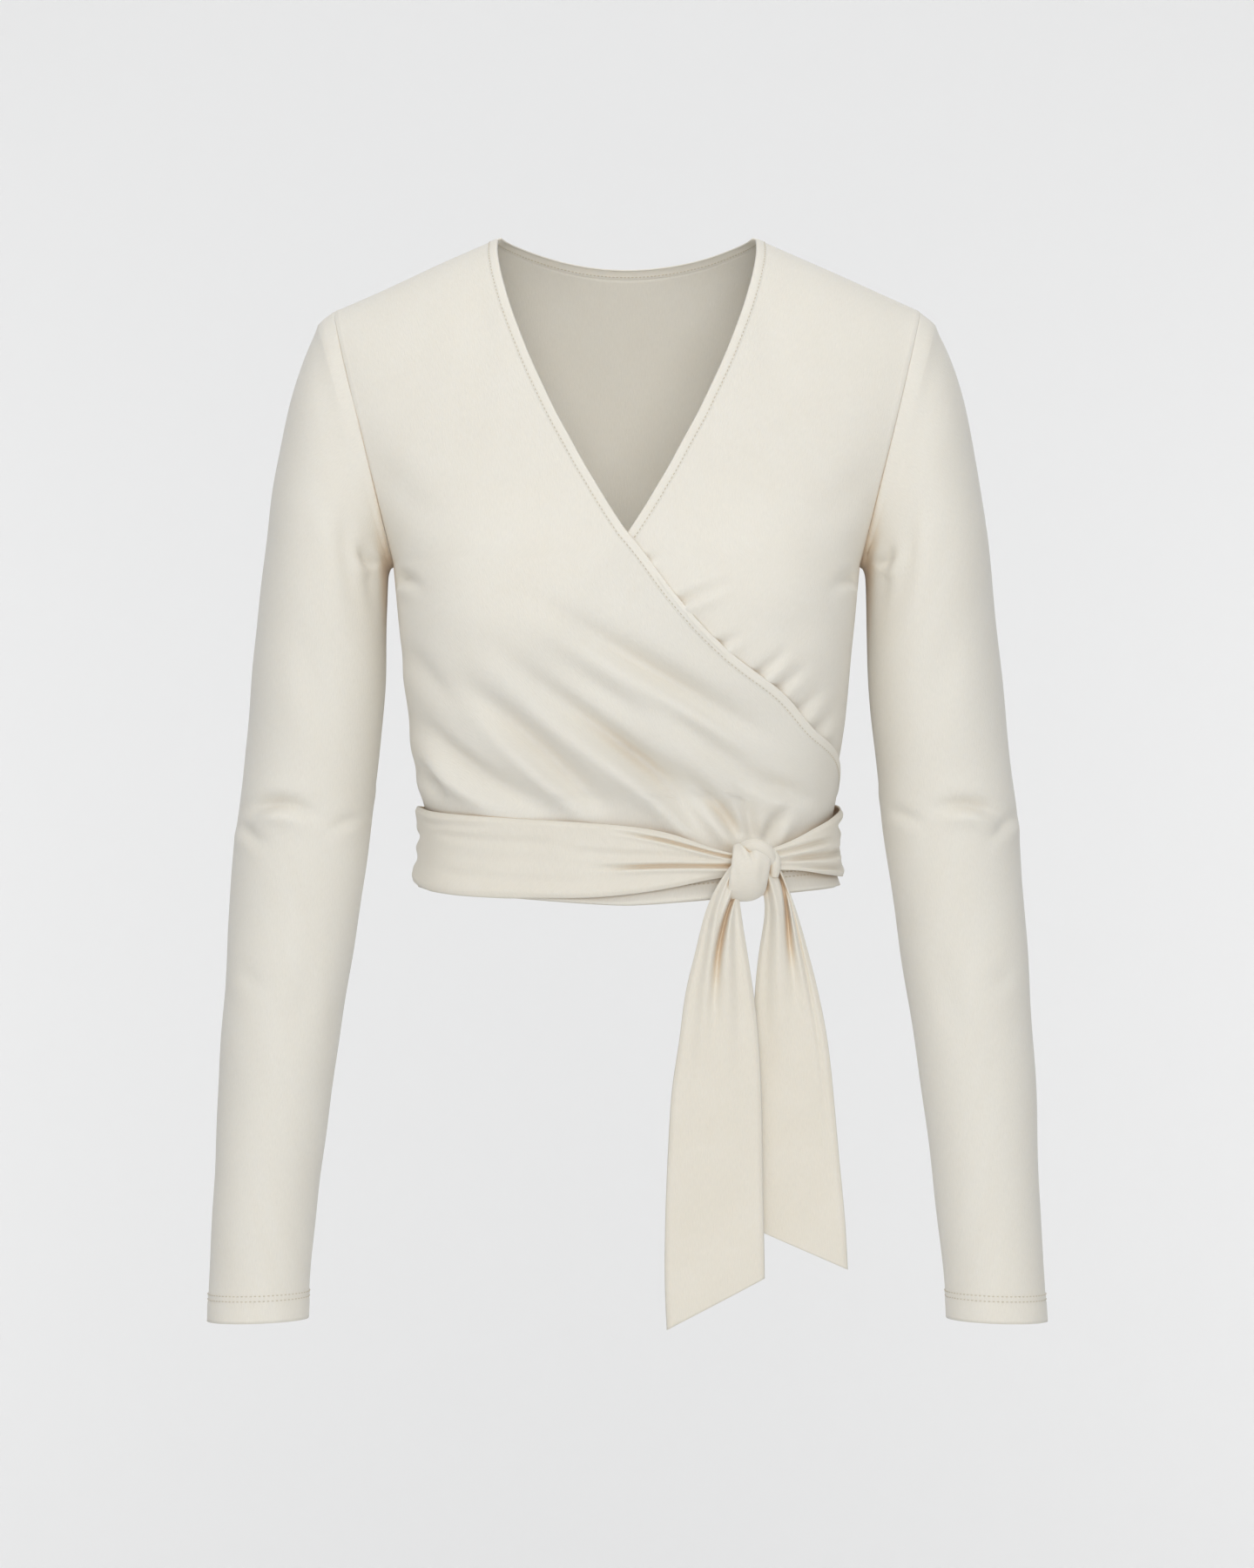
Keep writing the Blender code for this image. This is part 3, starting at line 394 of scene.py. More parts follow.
UNDER_TIE_CREASES = table(
    TIE_CREASE,
    (22, 0.30, 44, 0.32, 66, 0.36, 0.0022, 0.0020),
    (22, 0.60, 50, 0.62, 92, 0.60, 0.0026, 0.0024),
    (22, 0.84, 48, 0.86, 82, 0.88, 0.0020, 0.0018),
    (70, 0.22, 88, 0.24, 110, 0.30, 0.0016, 0.0034),
    (84, 0.80, 104, 0.78, 130, 0.66, 0.0014, 0.0030),
    (120, 0.46, 150, 0.48, 186, 0.44, 0.0012, 0.0030),
    (190, 0.40, 222, 0.50, 258, 0.46, 0.0012, 0.0034),
)
# Folds of a tail: share across it at its top, just below, at its middle and end, depth, width as a share, and
# where the fold fades out.
TAIL_FOLD = "top neck middle end depth width fades"
FRONT_TAIL_FOLDS = table(
    TAIL_FOLD,
    (1.00, 0.80, 0.44, 0.40, 0.0100, 0.070, 0.52),
    (0.12, 0.14, 0.16, 0.20, 0.0012, 0.080, 0.80),
    (0.90, 0.86, 0.78, 0.74, 0.0014, 0.090, 0.85),
    (0.70, 0.68, 0.62, 0.58, -0.0022, 0.120, 0.70),
    (0.30, 0.30, 0.28, 0.28, -0.0024, 0.110, 0.75),
)
BACK_TAIL_FOLDS = table(
    TAIL_FOLD,
    (1.00, 0.84, 0.64, 0.60, 0.0095, 0.075, 0.50),
    (0.90, 0.90, 0.87, 0.88, 0.0018, 0.030, 0.85),
    (0.18, 0.18, 0.16, 0.20, 0.0012, 0.080, 0.80),
    (0.42, 0.40, 0.38, 0.40, -0.0026, 0.130, 0.75),
    (0.80, 0.80, 0.78, 0.78, -0.0020, 0.050, 0.60),
)


def tangents(slopes):
    """Slope of the curve at each row: the harmonic mean of its neighbours, or flat where they turn."""
    product = slopes[:-1] * slopes[1:]
    total = np.where(product > 0, slopes[:-1] + slopes[1:], 1.0)
    return np.concatenate((slopes[:1], np.where(product > 0, 2 * product / total, 0.0), slopes[-1:]))


def look_up(columns, name, value):
    """Smooth values of a column, without overshoot between its rows (monotone cubic)."""
    keys, values = next(iter(columns.values())), columns[name]
    if keys[0] > keys[-1]:
        keys, values = keys[::-1], values[::-1]
    value = np.clip(value, keys[0], keys[-1])
    steps = np.diff(keys)
    slope = tangents(np.diff(values) / steps)
    row = np.clip(np.searchsorted(keys, value, side="right") - 1, 0, len(steps) - 1)
    t = (value - keys[row]) / steps[row]
    start = (1 + 2 * t) * values[row] + t * steps[row] * slope[row]
    end = (3 - 2 * t) * values[row + 1] + (t - 1) * steps[row] * slope[row + 1]
    return start * (1 - t) ** 2 + end * t * t


def soften(columns, reach, samples=2001):
    """A table sampled closely, its corners rounded over this reach of its first column."""
    key = next(iter(columns))
    places = np.linspace(min(columns[key]), max(columns[key]), samples)
    step = places[1] - places[0]
    half = int(3 * reach / step)
    kernel = np.exp(-(np.arange(-half, half + 1) * step / reach) ** 2 / 2)
    made = {key: places}
    for name in list(columns)[1:]:
        values = look_up(columns, name, places)
        before = 2 * values[0] - values[half:0:-1]
        after = 2 * values[-1] - values[-2:-half - 2:-1]
        padded = np.concatenate((before, values, after))
        made[name] = np.convolve(padded, kernel / kernel.sum(), mode="valid")
    return made


def at(dense, name, value):
    return np.interp(value, next(iter(dense.values())), dense[name])


def smooth_step(low, high, value):
    t = np.clip((value - low) / (high - low), 0.0, 1.0)
    return t * t * (3 - 2 * t)


def solve(function, low, high, target):
    """Where a rising function of an array reaches the target, by halving."""
    low = np.zeros_like(target) + low
    high = np.zeros_like(target) + high
    for _ in range(34):
        middle = (low + high) / 2
        below = function(middle) < target
        low, high = np.where(below, middle, low), np.where(below, high, middle)
    return (low + high) / 2


def unit(vectors):
    return vectors / np.maximum(np.linalg.norm(vectors, axis=-1, keepdims=True), TINY)


# The garment's form, the same as the frame's.


def across(angle):
    return (np.sin(angle) + SQUARENESS * np.sin(3 * angle)) / (1 - SQUARENESS)


def along(angle):
    return (np.cos(angle) - SQUARENESS * np.cos(3 * angle)) / (1 - SQUARENESS)


def rounded(x):
    return np.hypot(x, ROW_ROUNDING)


QUARTER = np.linspace(math.pi / 2, 0, 3001)
QUARTER_ALONG = along(QUARTER)
LOOP_SHARE = (SHOULDER_TIP[2] - UNDERARM[2]) / (UNDERARM[2] - HEM_Z)


def armhole_loop(turn, shift):
    """Points of the armhole loop, from the shoulder tip (turn 0) down the front to the underarm (pi)."""
    middle = (SHOULDER_TIP + UNDERARM) / 2
    half = (SHOULDER_TIP - UNDERARM) / 2
    outward = np.array((half[2], 0.0, -half[0])) / np.linalg.norm(half)
    turn = np.asarray(turn)[..., None]
    depth = np.array((0.0, ARMHOLE_HALF_DEPTH, 0.0)) * np.sin(turn)
    return middle + half * np.cos(turn) - depth + outward * shift


def eased(level):
    """Level counted by height near the underarm, where the armhole loop turns and its rows close up."""
    by_height = 1 - LOOP_SHARE * (1 + np.cos(math.pi * np.minimum(level, 1))) / 2
    mix = smooth_step(EASE_START, EASE_END, level)
    return np.where(level < 1, level * (1 - mix) + by_height * mix, level)


TORSO_DENSE = soften(dict(TORSO, level=eased(TORSO["level"])), TORSO_SOFTENING)


def section(level, back):
    """Edge x and z, edge angle, half width, depth and rise of the torso's sections."""
    level = np.maximum(level, LEAST_LEVEL)
    place = eased(level)
    depth = np.where(back, at(TORSO_DENSE, "back", place), at(TORSO_DENSE, "front", place))
    depth = np.maximum(depth, LEAST_DEPTH)
    rise = at(TORSO_DENSE, "rise", place)
    loop = armhole_loop(math.pi * np.minimum(level, 1), 0.0)
    share = np.clip(np.abs(loop[..., 1]) / depth, 0, 0.999)
    angle = np.where(level < 1, np.interp(share, QUARTER_ALONG, QUARTER), math.pi / 2)
    below = at(TORSO_DENSE, "half_width", level)
    half_width = np.where(level < 1, loop[..., 0] / across(angle), below)
    edge_x = np.where(level < 1, loop[..., 0], below)
    edge_z = np.where(level < 1, loop[..., 2], UNDERARM[2] + (level - 1) * (HEM_Z - UNDERARM[2]))
    return edge_x, edge_z, angle, half_width, depth, rise


def form(level, angle):
    """Points of the torso's form."""
    edge_x, edge_z, _, half_width, depth, rise = section(level, np.cos(angle) < 0)
    x = half_width * across(angle)
    z = edge_z + rise * (rounded(edge_x) - rounded(x))
    return np.stack((x, -depth * along(angle), z), axis=-1)


def row_height(level, x):
    edge_x, edge_z, _, _, _, rise = section(level, False)
    return edge_z + rise * (rounded(edge_x) - rounded(x))


def outward_at(level, angle):
    """Unit normals of the form, pointing away from the body."""
    above = np.maximum(level - SLOPE_STEP, 0.001)
    fall = form(np.minimum(level + SLOPE_STEP, 2.0), angle) - form(above, angle)
    turn = form(level, angle + SLOPE_STEP) - form(level, angle - SLOPE_STEP)
    return unit(np.cross(fall, turn))


def rows_by_height(first, count):
    """Levels from a first one to the hem, evenly spaced by height."""
    levels = np.linspace(first, 2, 4001)
    place = eased(levels)
    return np.interp(np.linspace(place[0], place[-1], count), place, levels)


def level_of(z, angle):
    """The level between underarm and hem where the form has this height."""
    return solve(lambda level: -form(level, angle)[..., 2], 1.0, 2.02, -z)


def normals_of(points, closed=False):
    """Unit normals of a grid whose rows run down and whose columns run to the wearer's left."""
    down = np.gradient(points, axis=0)
    if closed:
        over = np.roll(points, -1, axis=1) - np.roll(points, 1, axis=1)
    else:
        over = np.gradient(points, axis=1)
    return unit(np.cross(down, over))


def lengths(points, axis):
    """Distance along each row or column of a grid, from its start."""
    steps = np.linalg.norm(np.diff(points, axis=axis), axis=-1)
    start = np.zeros_like(np.take(steps, [0], axis=axis))
    return np.concatenate((start, np.cumsum(steps, axis=axis)), axis=axis)


def line_at(distance, measured, values):
    """Values of a grid where each of its rows' measured distance reaches this one."""
    line = []
    for gaps, row in zip(measured, values):
        order = np.argsort(gaps)
        line.append([np.interp(distance, gaps[order], row[order, k]) for k in range(3)])
    return np.array(line)


# Creases.


def bell(gap):
    return np.exp(-gap ** 2)


def crease(x, z, row, spans=24):
    """Height of one crease at places seen from the front: its trough and a ridge on each side."""
    start, middle, end = (np.array((row[f"x{k}"], row[f"z{k}"])) for k in range(3))
    t = np.linspace(0, 1, spans + 1)[:, None]
    bend = 2 * middle - (start + end) / 2
    path = start * (1 - t) ** 2 + 2 * bend * t * (1 - t) + end * t * t
    nearest = np.full(x.shape, 1.0)
    side = np.zeros(x.shape)
    place = np.zeros(x.shape)
    for span, (a, b) in enumerate(zip(path, path[1:])):
        run = b - a
        t = np.clip(((x - a[0]) * run[0] + (z - a[1]) * run[1]) / float(np.dot(run, run)), 0, 1)
        gap = np.hypot(x - a[0] - t * run[0], z - a[1] - t * run[1])
        closer = gap < nearest
        above = run[0] * (z - a[1]) - run[1] * (x - a[0])
        nearest = np.where(closer, gap, nearest)
        side = np.where(closer, np.sign(above), side)
        place = np.where(closer, (span + t) / spans, place)
    if end[0] < start[0]:
        side = -side
    gap = nearest * side / row["width"]
    fade = smooth_step(0, row["peak"], place) * smooth_step(0, 1 - row["peak"], 1 - place)
    near = bell((gap + NEAR_RIDGE_PLACE) / NEAR_RIDGE_WIDTH)
    far = FAR_RIDGE * bell((gap - FAR_RIDGE_PLACE) / FAR_RIDGE_WIDTH)
    return row["depth"] * fade * (row["ridge"] * (near + far) - bell(gap))


def rows_of(columns):
    return [dict(zip(columns, values)) for values in zip(*columns.values())]


def creases(x, z, columns):
    return sum(crease(x, z, row) for row in rows_of(columns))


def troughs_only(x, z, columns, spread):
    """How deep the creases reach inward, with a wider reach."""
    deepest = np.zeros(x.shape)
    for row in rows_of(columns):
        wide = dict(row, width=row["width"] * spread, ridge=0.0)
        deepest = np.minimum(deepest, crease(x, z, wide))
    return deepest


def unevenness(points, size, height, seed, waves=9):
    """A little slow, seeded waviness, the same on every run."""
    random = np.random.default_rng(seed)
    total = np.zeros(points.shape[:-1])
    for _ in range(waves):
        way = random.normal(size=3)
        way /= np.linalg.norm(way) * size * random.uniform(0.7, 1.6)
        total += np.sin(points @ way * 2 * math.pi + random.uniform(0, 6.3))
    return total * height / math.sqrt(waves)


def seam_dip(distance):
    """A panel's edge turns in a little at its seam, with a faint ridge of seam allowance beside it."""
    return SEAM_RIDGE * bell(distance / SEAM_REACH - 2.2) - SEAM_DIP * bell(distance / SEAM_REACH)


def hem_shape(to_hem, depth):
    """A turned hem: slightly thicker below its stitches, which sink in as two fine grooves."""
    height = HEM_THICKNESS * smooth_step(0, 0.0015, depth - to_hem)
    for row in STITCH_ROWS:
        height -= GROOVE_DEPTH * bell((to_hem - (depth - row)) / GROOVE_WIDTH)
    return height


# Materials and Blender objects.


def node(tree, kind, values, links, **settings):
    """Outputs of a new shader node, with its inputs' values and what feeds them."""
    made = tree.nodes.new(f"ShaderNode{kind}")
    for key, value in settings.items():
        setattr(made, key, value)
    for key, value in values.items():
        made.inputs[key].default_value = value
    for key, source in links.items():
        tree.links.new(source, made.inputs[key])
    return made.outputs


def jersey(name, colour, shade, weave=1.0):
    """Fine single jersey: narrow upright wales, a soft sheen and a slight change of colour."""
    made = bpy.data.materials.new(name)
    made.use_nodes = True
    tree = made.node_tree
    where = node(tree, "UVMap", {}, {}, uv_map="knit")["UV"]
    stretched = node(tree, "Mapping", {"Scale": WALE_SCALE}, {"Vector": where})["Vector"]
    wales = node(tree, "TexNoise", {"Scale": 1.0, "Detail": 3.0}, {"Vector": stretched})["Fac"]
    slub = node(tree, "TexNoise", {"Scale": SLUB_SCALE, "Detail": 4.0}, {"Vector": where})["Fac"]
    spread = node(tree, "MapRange", {"From Min": 0.3, "From Max": 0.7}, {"Value": slub})["Result"]
    tone = node(tree, "Mix", {"A": shade, "B": colour}, {"Factor": spread}, data_type="RGBA")["Result"]
    yarn = node(tree, "Mix", {"Factor": 0.10 * weave}, {"A": tone, "B": wales},
                data_type="RGBA", blend_type="MULTIPLY")["Result"]
    # Painted shade: where ambient occlusion finds a hollow within 14 mm, a warm tan is mixed into the base
    # colour. It stands in for light that has passed through and between layers.
    reach = node(tree, "AmbientOcclusion", {"Distance": 0.014}, {}, samples=6)["AO"]
    openness = node(tree, "MapRange", {"From Min": 0.15, "From Max": 0.60}, {"Value": reach})["Result"]
    painted_shade = node(tree, "Mix", {"A": PAINTED_HOLLOW_SHADE}, {"Factor": openness, "B": yarn}, data_type="RGBA")["Result"]
    bump = node(tree, "Bump", {"Strength": 0.35 * weave, "Distance": 0.0006}, {"Height": wales})["Normal"]
    shader = tree.nodes["Principled BSDF"]
    for key, value in JERSEY.items():
        shader.inputs[key].default_value = value
    # The base colour carries the painted shade of the hollows.
    tree.links.new(painted_shade, shader.inputs["Base Color"])
    tree.links.new(bump, shader.inputs["Normal"])
    return made


def add_piece(name, mesh, finish):
    mesh.shade_smooth()
    mesh.materials.append(finish)
    piece = bpy.data.objects.new(name, mesh)
    bpy.context.scene.collection.objects.link(piece)
    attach(piece, "root")
    return piece


def cloth(name, points, slot, shell, finish, closed=False, left_out=None):
    """A thin shell through a grid of points, with knit coordinates in metres."""
    rows, width = points.shape[:2]
    index = np.arange(rows * width).reshape(rows, width)
    after = np.roll(index, -1, axis=1) if closed else index[:, 1:]
    here = index if closed else index[:, :-1]
    quads = np.stack((here[:-1], here[1:], after[1:], after[:-1]), axis=-1)
    if left_out is not None:
        quads = quads[~left_out]
    corners = quads.reshape(-1)
    u = lengths(points, 1)
    u -= u[:, [width // 2]]
    knit = np.stack((u, lengths(points, 0)), axis=-1).reshape(-1, 2)[corners]
    mesh = bpy.data.meshes.new(f"{name}_cloth")
    mesh.vertices.add(rows * width)
    mesh.vertices.foreach_set("co", points.reshape(-1).astype(np.float32))
    mesh.loops.add(corners.size)
    mesh.loops.foreach_set("vertex_index", corners.astype(np.int32))
    mesh.polygons.add(corners.size // 4)
    mesh.polygons.foreach_set("loop_start", np.arange(0, corners.size, 4, dtype=np.int32))
    mesh.update(calc_edges=True)
    layer = mesh.uv_layers.new(name="knit")
    layer.data.foreach_set("uv", knit.reshape(-1).astype(np.float32))
    mesh.validate()
    piece = add_piece(f"{name}_cloth", mesh, finish)
    solid = piece.modifiers.new("Shell", "SOLIDIFY")
    solid.thickness = shell
    solid.offset = -1.0
    return piece


def panel(name, *details, **options):
    """A piece of cloth that stands for the CAD node of its name."""
    piece = cloth(name, *details, **options)
    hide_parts(name)
    return piece


def stitches(name, line, normal, pitch=STITCH_PITCH):
    """A row of stitches along a line on the cloth, as small pointed capsules."""
    run = np.concatenate(([0], np.cumsum(np.linalg.norm(np.diff(line, axis=0), axis=1))))
    count = int(run[-1] / pitch)
    points = []
    faces = []
    for middle in (np.arange(count) + 0.5) * run[-1] / count:
        ends = [np.array([np.interp(middle + half, run, line[:, k]) for k in range(3)])
                for half in (-STITCH_LENGTH / 2, STITCH_LENGTH / 2)]
        out = unit(np.array([np.interp(middle, run, normal[:, k]) for k in range(3)]))
        beside = np.cross(unit(ends[1] - ends[0]), out) * STITCH_WIDTH
        lift = out * STITCH_RISE
        first = len(points)
        points += [ends[0] + lift * 0.2, ends[1] + lift * 0.2]
        for place in (0.25, 0.75):
            centre = ends[0] + (ends[1] - ends[0]) * place + lift
            points += [centre + beside, centre + out * STITCH_WIDTH * 1.2, centre - beside]
        start, end, left, top, right, left2, top2, right2 = range(first, first + 8)
        faces += [(start, left, top), (start, top, right), (left, left2, top2, top)]
        faces += [(top, top2, right2, right), (end, top2, left2), (end, right2, top2)]
    mesh = bpy.data.meshes.new(name)
    mesh.from_pydata([tuple(point) for point in points], [], faces)
    add_piece(name, mesh, thread_finish)


def hem_stitches(name, points, normal, depth, closed=False):
    """Two rows of stitches along a turned hem or cuff."""
    down = lengths(points, 0)
    to_hem = (down[[-1]] - down).T
    for number, row in enumerate(STITCH_ROWS):
        line, out = (line_at(depth - row, to_hem, grid.transpose(1, 0, 2)) for grid in (points, normal))
        if closed:
            line, out = (np.concatenate((ring, ring[:1])) for ring in (line, out))
        stitches(f"{name}_stitches_{number}", line, out)


cloth_finish = jersey("jersey", CREAM, CREAM_SHADE)
tie_finish = jersey("tie_jersey", TIE_CREAM, TIE_SHADE)
band_finish = jersey("band_jersey", CREAM, CREAM_SHADE, 0.7)
thread_finish = jersey("thread", THREAD, THREAD_SHADE, 0.2)

# The fronts, and the neckbands along them.


def wrap_edge():
    """The wrap edge's angle round the body, by eased level."""
    rows = []
    for z, x in zip(FRONT_EDGE["z"], FRONT_EDGE["x"]):
        level = float(solve(lambda level: -row_height(level, x), 0.0, 2.0, np.array(-z)))
        half_width = float(section(np.array(level), False)[3])
        angle = solve(lambda turn: half_width * across(turn), -math.pi / 2, math.pi / 2, np.array(x))
        rows.append((float(eased(level)), float(angle)))
    rows.append((END_LEVEL, math.radians(OVER_END_ANGLE)))
    return soften(table("place angle", *rows), EDGE_SOFTENING)


END_LEVEL = float(level_of(np.array(FRONT_END_Z), np.array(math.pi / 2)))
EDGE = wrap_edge()
# The ways along the left and the right shoulder seam to the neck.
TO_NECK = np.array((-1.0, 0.0, TORSO["rise"][0])) / math.hypot(1.0, TORSO["rise"][0])
TO_RIGHT_NECK = TO_NECK * (-1, 1, 1)


def edge_angle(level, end_angle):
    reach = math.radians(OVER_END_ANGLE - end_angle)
    fallen_back = smooth_step(END_LEVEL - UNDER_SHORTENING, END_LEVEL, level)
    return at(EDGE, "angle", eased(level)) - reach * fallen_back


def last_angle(level, end_angle):
    """Where a front's rows end: a little short of its edge, under the middle of the neckband."""
    edge = edge_angle(level, end_angle)
    above = np.maximum(level - SLOPE_STEP, 0)
    below = level + SLOPE_STEP
    run = form(below, edge_angle(below, end_angle)) - form(above, edge_angle(above, end_angle))
    row = (form(level, edge + SLOPE_STEP) - form(level, edge - SLOPE_STEP)) / (2 * SLOPE_STEP)
    spread = np.linalg.norm(np.cross(row, run), axis=1) / np.linalg.norm(run, axis=1)
    return edge - EDGE_INSET / spread * smooth_step(0, INSET_FADE, END_LEVEL - level)


def front(side, end_angle, rows, columns):
    """A front's points, normals and levels, and how far each point is from the wrap edge."""
    level = rows_by_height(SHOULDER_SEAM, rows)
    start = -section(level, False)[2]
    share = np.linspace(0, 1, columns)
    angle = start[:, None] + (last_angle(level, end_angle) - start)[:, None] * share
    levels = np.broadcast_to(level[:, None], angle.shape)
    if side > 0:
        angle = -angle[:, ::-1]
    base = form(levels, angle)
    normal = outward_at(levels, angle)
    x, z = base[..., 0], base[..., 2]
    over = lengths(base, 1)
    rest = over[:, [-1]] - over
    from_edge, from_side = (rest, over) if side < 0 else (over, rest)
    gap = np.hypot(np.abs(x) - BUST_X, z - BUST_Z) / BUST_REACH
    offset = BUST_FULLNESS * np.exp(-gap ** 3)
    rising = smooth_step(-LAYER_TURN, LAYER_TURN, angle)
    if side < 0:
        calm = EDGE_CALM + (1 - EDGE_CALM) * smooth_step(*CALM_REACH, from_edge)
        calm = np.where(levels < END_LEVEL, calm, 1.0)
        offset += LAYER_STEP * rising + creases(x, z, OVER_CREASES) * calm
    else:
        cover = smooth_step(0.0, COVER_TURN, edge_angle(levels, OVER_END_ANGLE) - angle)
        hidden = troughs_only(x, z, OVER_CREASES, HIDDEN_SPREAD) * cover * HIDDEN_DEPTH
        offset += LAYER_STEP * (rising - 1) + hidden + creases(x, z, UNDER_CREASES) * (1 - cover)
    offset += unevenness(base, *FRONT_WAVES, 3 + side)
    offset *= smooth_step(*SIDE_REACH, from_side)
    down = lengths(base, 0)
    offset += seam_dip(from_side) + seam_dip(down) + hem_shape(down[[-1]] - down, HEM_DEPTH)
    return base + normal * offset[..., None], normal, levels, from_edge


def band(points, normal, inward, steps=12):
    """A folded band laid along a border: raised a little, rounding over at its free edge."""
    share = np.linspace(-0.10, 1, steps)
    height = 0.00030 * np.sin(np.pi * np.clip(share * 0.6 + 0.25, 0, 1)) + 0.0001
    height -= 0.0012 * smooth_step(0.86, 1.0, share) + 0.0005 * smooth_step(-0.04, -0.10, share)
    height -= 0.0004 * bell((share - 0.08) / 0.06)
    place = NECKBAND_WIDTH * (share - 0.05 * smooth_step(0.85, 1.0, share))
    return points[:, None] + inward[:, None] * place[:, None] + normal[:, None] * height[:, None]


def turned(inward, start, end=None, reach=5):
    """The band's directions, eased to those of its cut ends so that bands meet at the shoulder seams."""
    made = inward.copy()
    for k in range(reach):
        mix = 1 - k / reach
        made[k] = made[k] * (1 - mix) + start * mix
        if end is not None:
            made[-1 - k] = made[-1 - k] * (1 - mix) + end * mix
    return unit(made)


def border_of(points, normal):
    """Directions square to a border, along the cloth, to the left of the way it runs as seen from outside."""
    return unit(np.cross(normal, np.gradient(points, axis=0)))


def add_front(name, side, end_angle, rows, columns):
    points, normal, levels, from_edge = front(side, end_angle, rows, columns)
    piece = panel(name, points, "jersey", SHELL, cloth_finish)
    hem_line = points, normals_of(points)
    free = levels[:, 0] < END_LEVEL
    line = line_at(BAND_SEAM, from_edge[free], points[free])
    out = unit(line_at(BAND_SEAM, from_edge[free], normal[free]))
    inward = border_of(line, out) * -side
    grid = band(line, out, turned(inward, TO_RIGHT_NECK if side < 0 else TO_NECK))
    label = "neckband_right" if side < 0 else "neckband_left"
    strip = panel(label, grid[:, ::-side], "neckband", BAND_SHELL, band_finish)
    stitches(f"{label}_stitches", grid[:, 2], out)
    return piece, strip, hem_line


right_front, right_band, right_hem = add_front("front_right", -1, OVER_END_ANGLE, 230, 190)
left_front, left_band, left_hem = add_front("front_left", 1, UNDER_END_ANGLE, 200, 150)

# The back. Its columns run from the wearer's left to the right.
NECK_CORNER_X = NECK_X + NECKBAND_WIDTH * 0.6
NECK_CORNER_Z = float(row_height(np.array(0.0), NECK_CORNER_X))
NECK_DROP = NECK_CORNER_Z + BACK_NECK_DROP + NECKBAND_WIDTH * BAND_LEAN


def neck_level(share):
    """The level of the back's neck curve at each share of the way to the side."""
    def below_seam(level):
        _, _, angle, half_width, _, _ = section(level, True)
        x = half_width * across(share * angle)
        drop = NECK_DROP * np.maximum(1 - (x / NECK_CORNER_X) ** 2, 0)
        return NECK_CORNER_Z - drop - row_height(level, x)

    return solve(below_seam, 0.0, 1.0, np.zeros_like(share))


def back(rows, beside, columns):
    """The back's points and normals, its faces left out for the slit, and which columns meet the neck."""
    _, _, angle, half_width, _, _ = section(np.array(SHOULDER_SEAM), True)
    corner_x = np.array(NECK_CORNER_X)
    corner = float(solve(lambda share: half_width * across(share * angle), 0.0, 1.0, corner_x))
    spots = np.concatenate((np.linspace(1, corner, beside), np.linspace(corner, -corner, columns)[1:-1],
                            np.linspace(-corner, -1, beside)))
    curved = np.abs(spots) < corner
    tops = np.where(curved, np.maximum(neck_level(spots), SHOULDER_SEAM), SHOULDER_SEAM)
    level = rows_by_height(0.0, rows)[:, None]
    here = np.where(level < 1, tops + level * (1 - tops), level)
    turn = math.pi - spots * section(here, True)[2]
    base = form(here, turn)
    normal = outward_at(here, turn)
    x, z = base[..., 0], base[..., 2]
    over = lengths(base, 1)
    down = lengths(base, 0)
    offset = creases(x, z, BACK_CREASES) + unevenness(base, *BACK_WAVES, 11)
    offset += seam_dip(over) + seam_dip(over[:, [-1]] - over) + ~curved * seam_dip(down)
    offset += hem_shape(down[[-1]] - down, HEM_DEPTH)
    slit = (z > SLIT_Z[0]) & (z < SLIT_Z[1]) & (spots < SLIT_REACH)
    left_out = slit[:-1, :-1] & slit[1:, 1:]
    return base + normal * offset[..., None], normal, left_out, np.abs(spots) < corner + 1e-6


back_points, back_normal, back_slit, neck = back(150, 60, 62)
back_piece = panel("back", back_points, "jersey", SHELL, cloth_finish, left_out=back_slit)
neck_line = back_points[0][neck]
neck_out = back_normal[1][neck]
neck_inward = turned(border_of(neck_line, neck_out), TO_NECK, TO_RIGHT_NECK)
back_grid = band(neck_line, neck_out, neck_inward)
back_band = panel("neckband_back", back_grid, "neckband", BAND_SHELL, band_finish)
neck_seam = neck_line + neck_inward * 0.0012
stitches("neckband_back_stitches", neck_seam - neck_out * 0.0009, -neck_out, BACK_STITCH_PITCH)
stitches("neckband_back_outer_stitches", neck_seam + neck_out * 0.0002, neck_out)

hem_stitches("back_hem", back_points, normals_of(back_points), HEM_DEPTH)
hem_stitches("front_right_hem", *right_hem, HEM_DEPTH)
hem_stitches("front_left_hem", *left_hem, HEM_DEPTH)

# The sleeves. Their rows start with a few that lead from the armhole seam to the table's first row.
SLEEVE_DENSE = soften(SLEEVE, SLEEVE_SOFTENING)
SLEEVE_COLUMNS = 110
HEAD_SHARES = (0.0, 0.12, 0.35, 0.65)
ARMHOLE_TUCK = -0.0003  # the first row lies this far inside the armhole
HEAD_FULLNESS = 0.0010
HEAD_PLACE = 0.010  # the sleeve head is fullest this far below its seam
HEAD_REACH = 0.006
UNDERARM_SEAM_DIP = 0.0007
UNDERARM_SEAM_TURN = 0.055


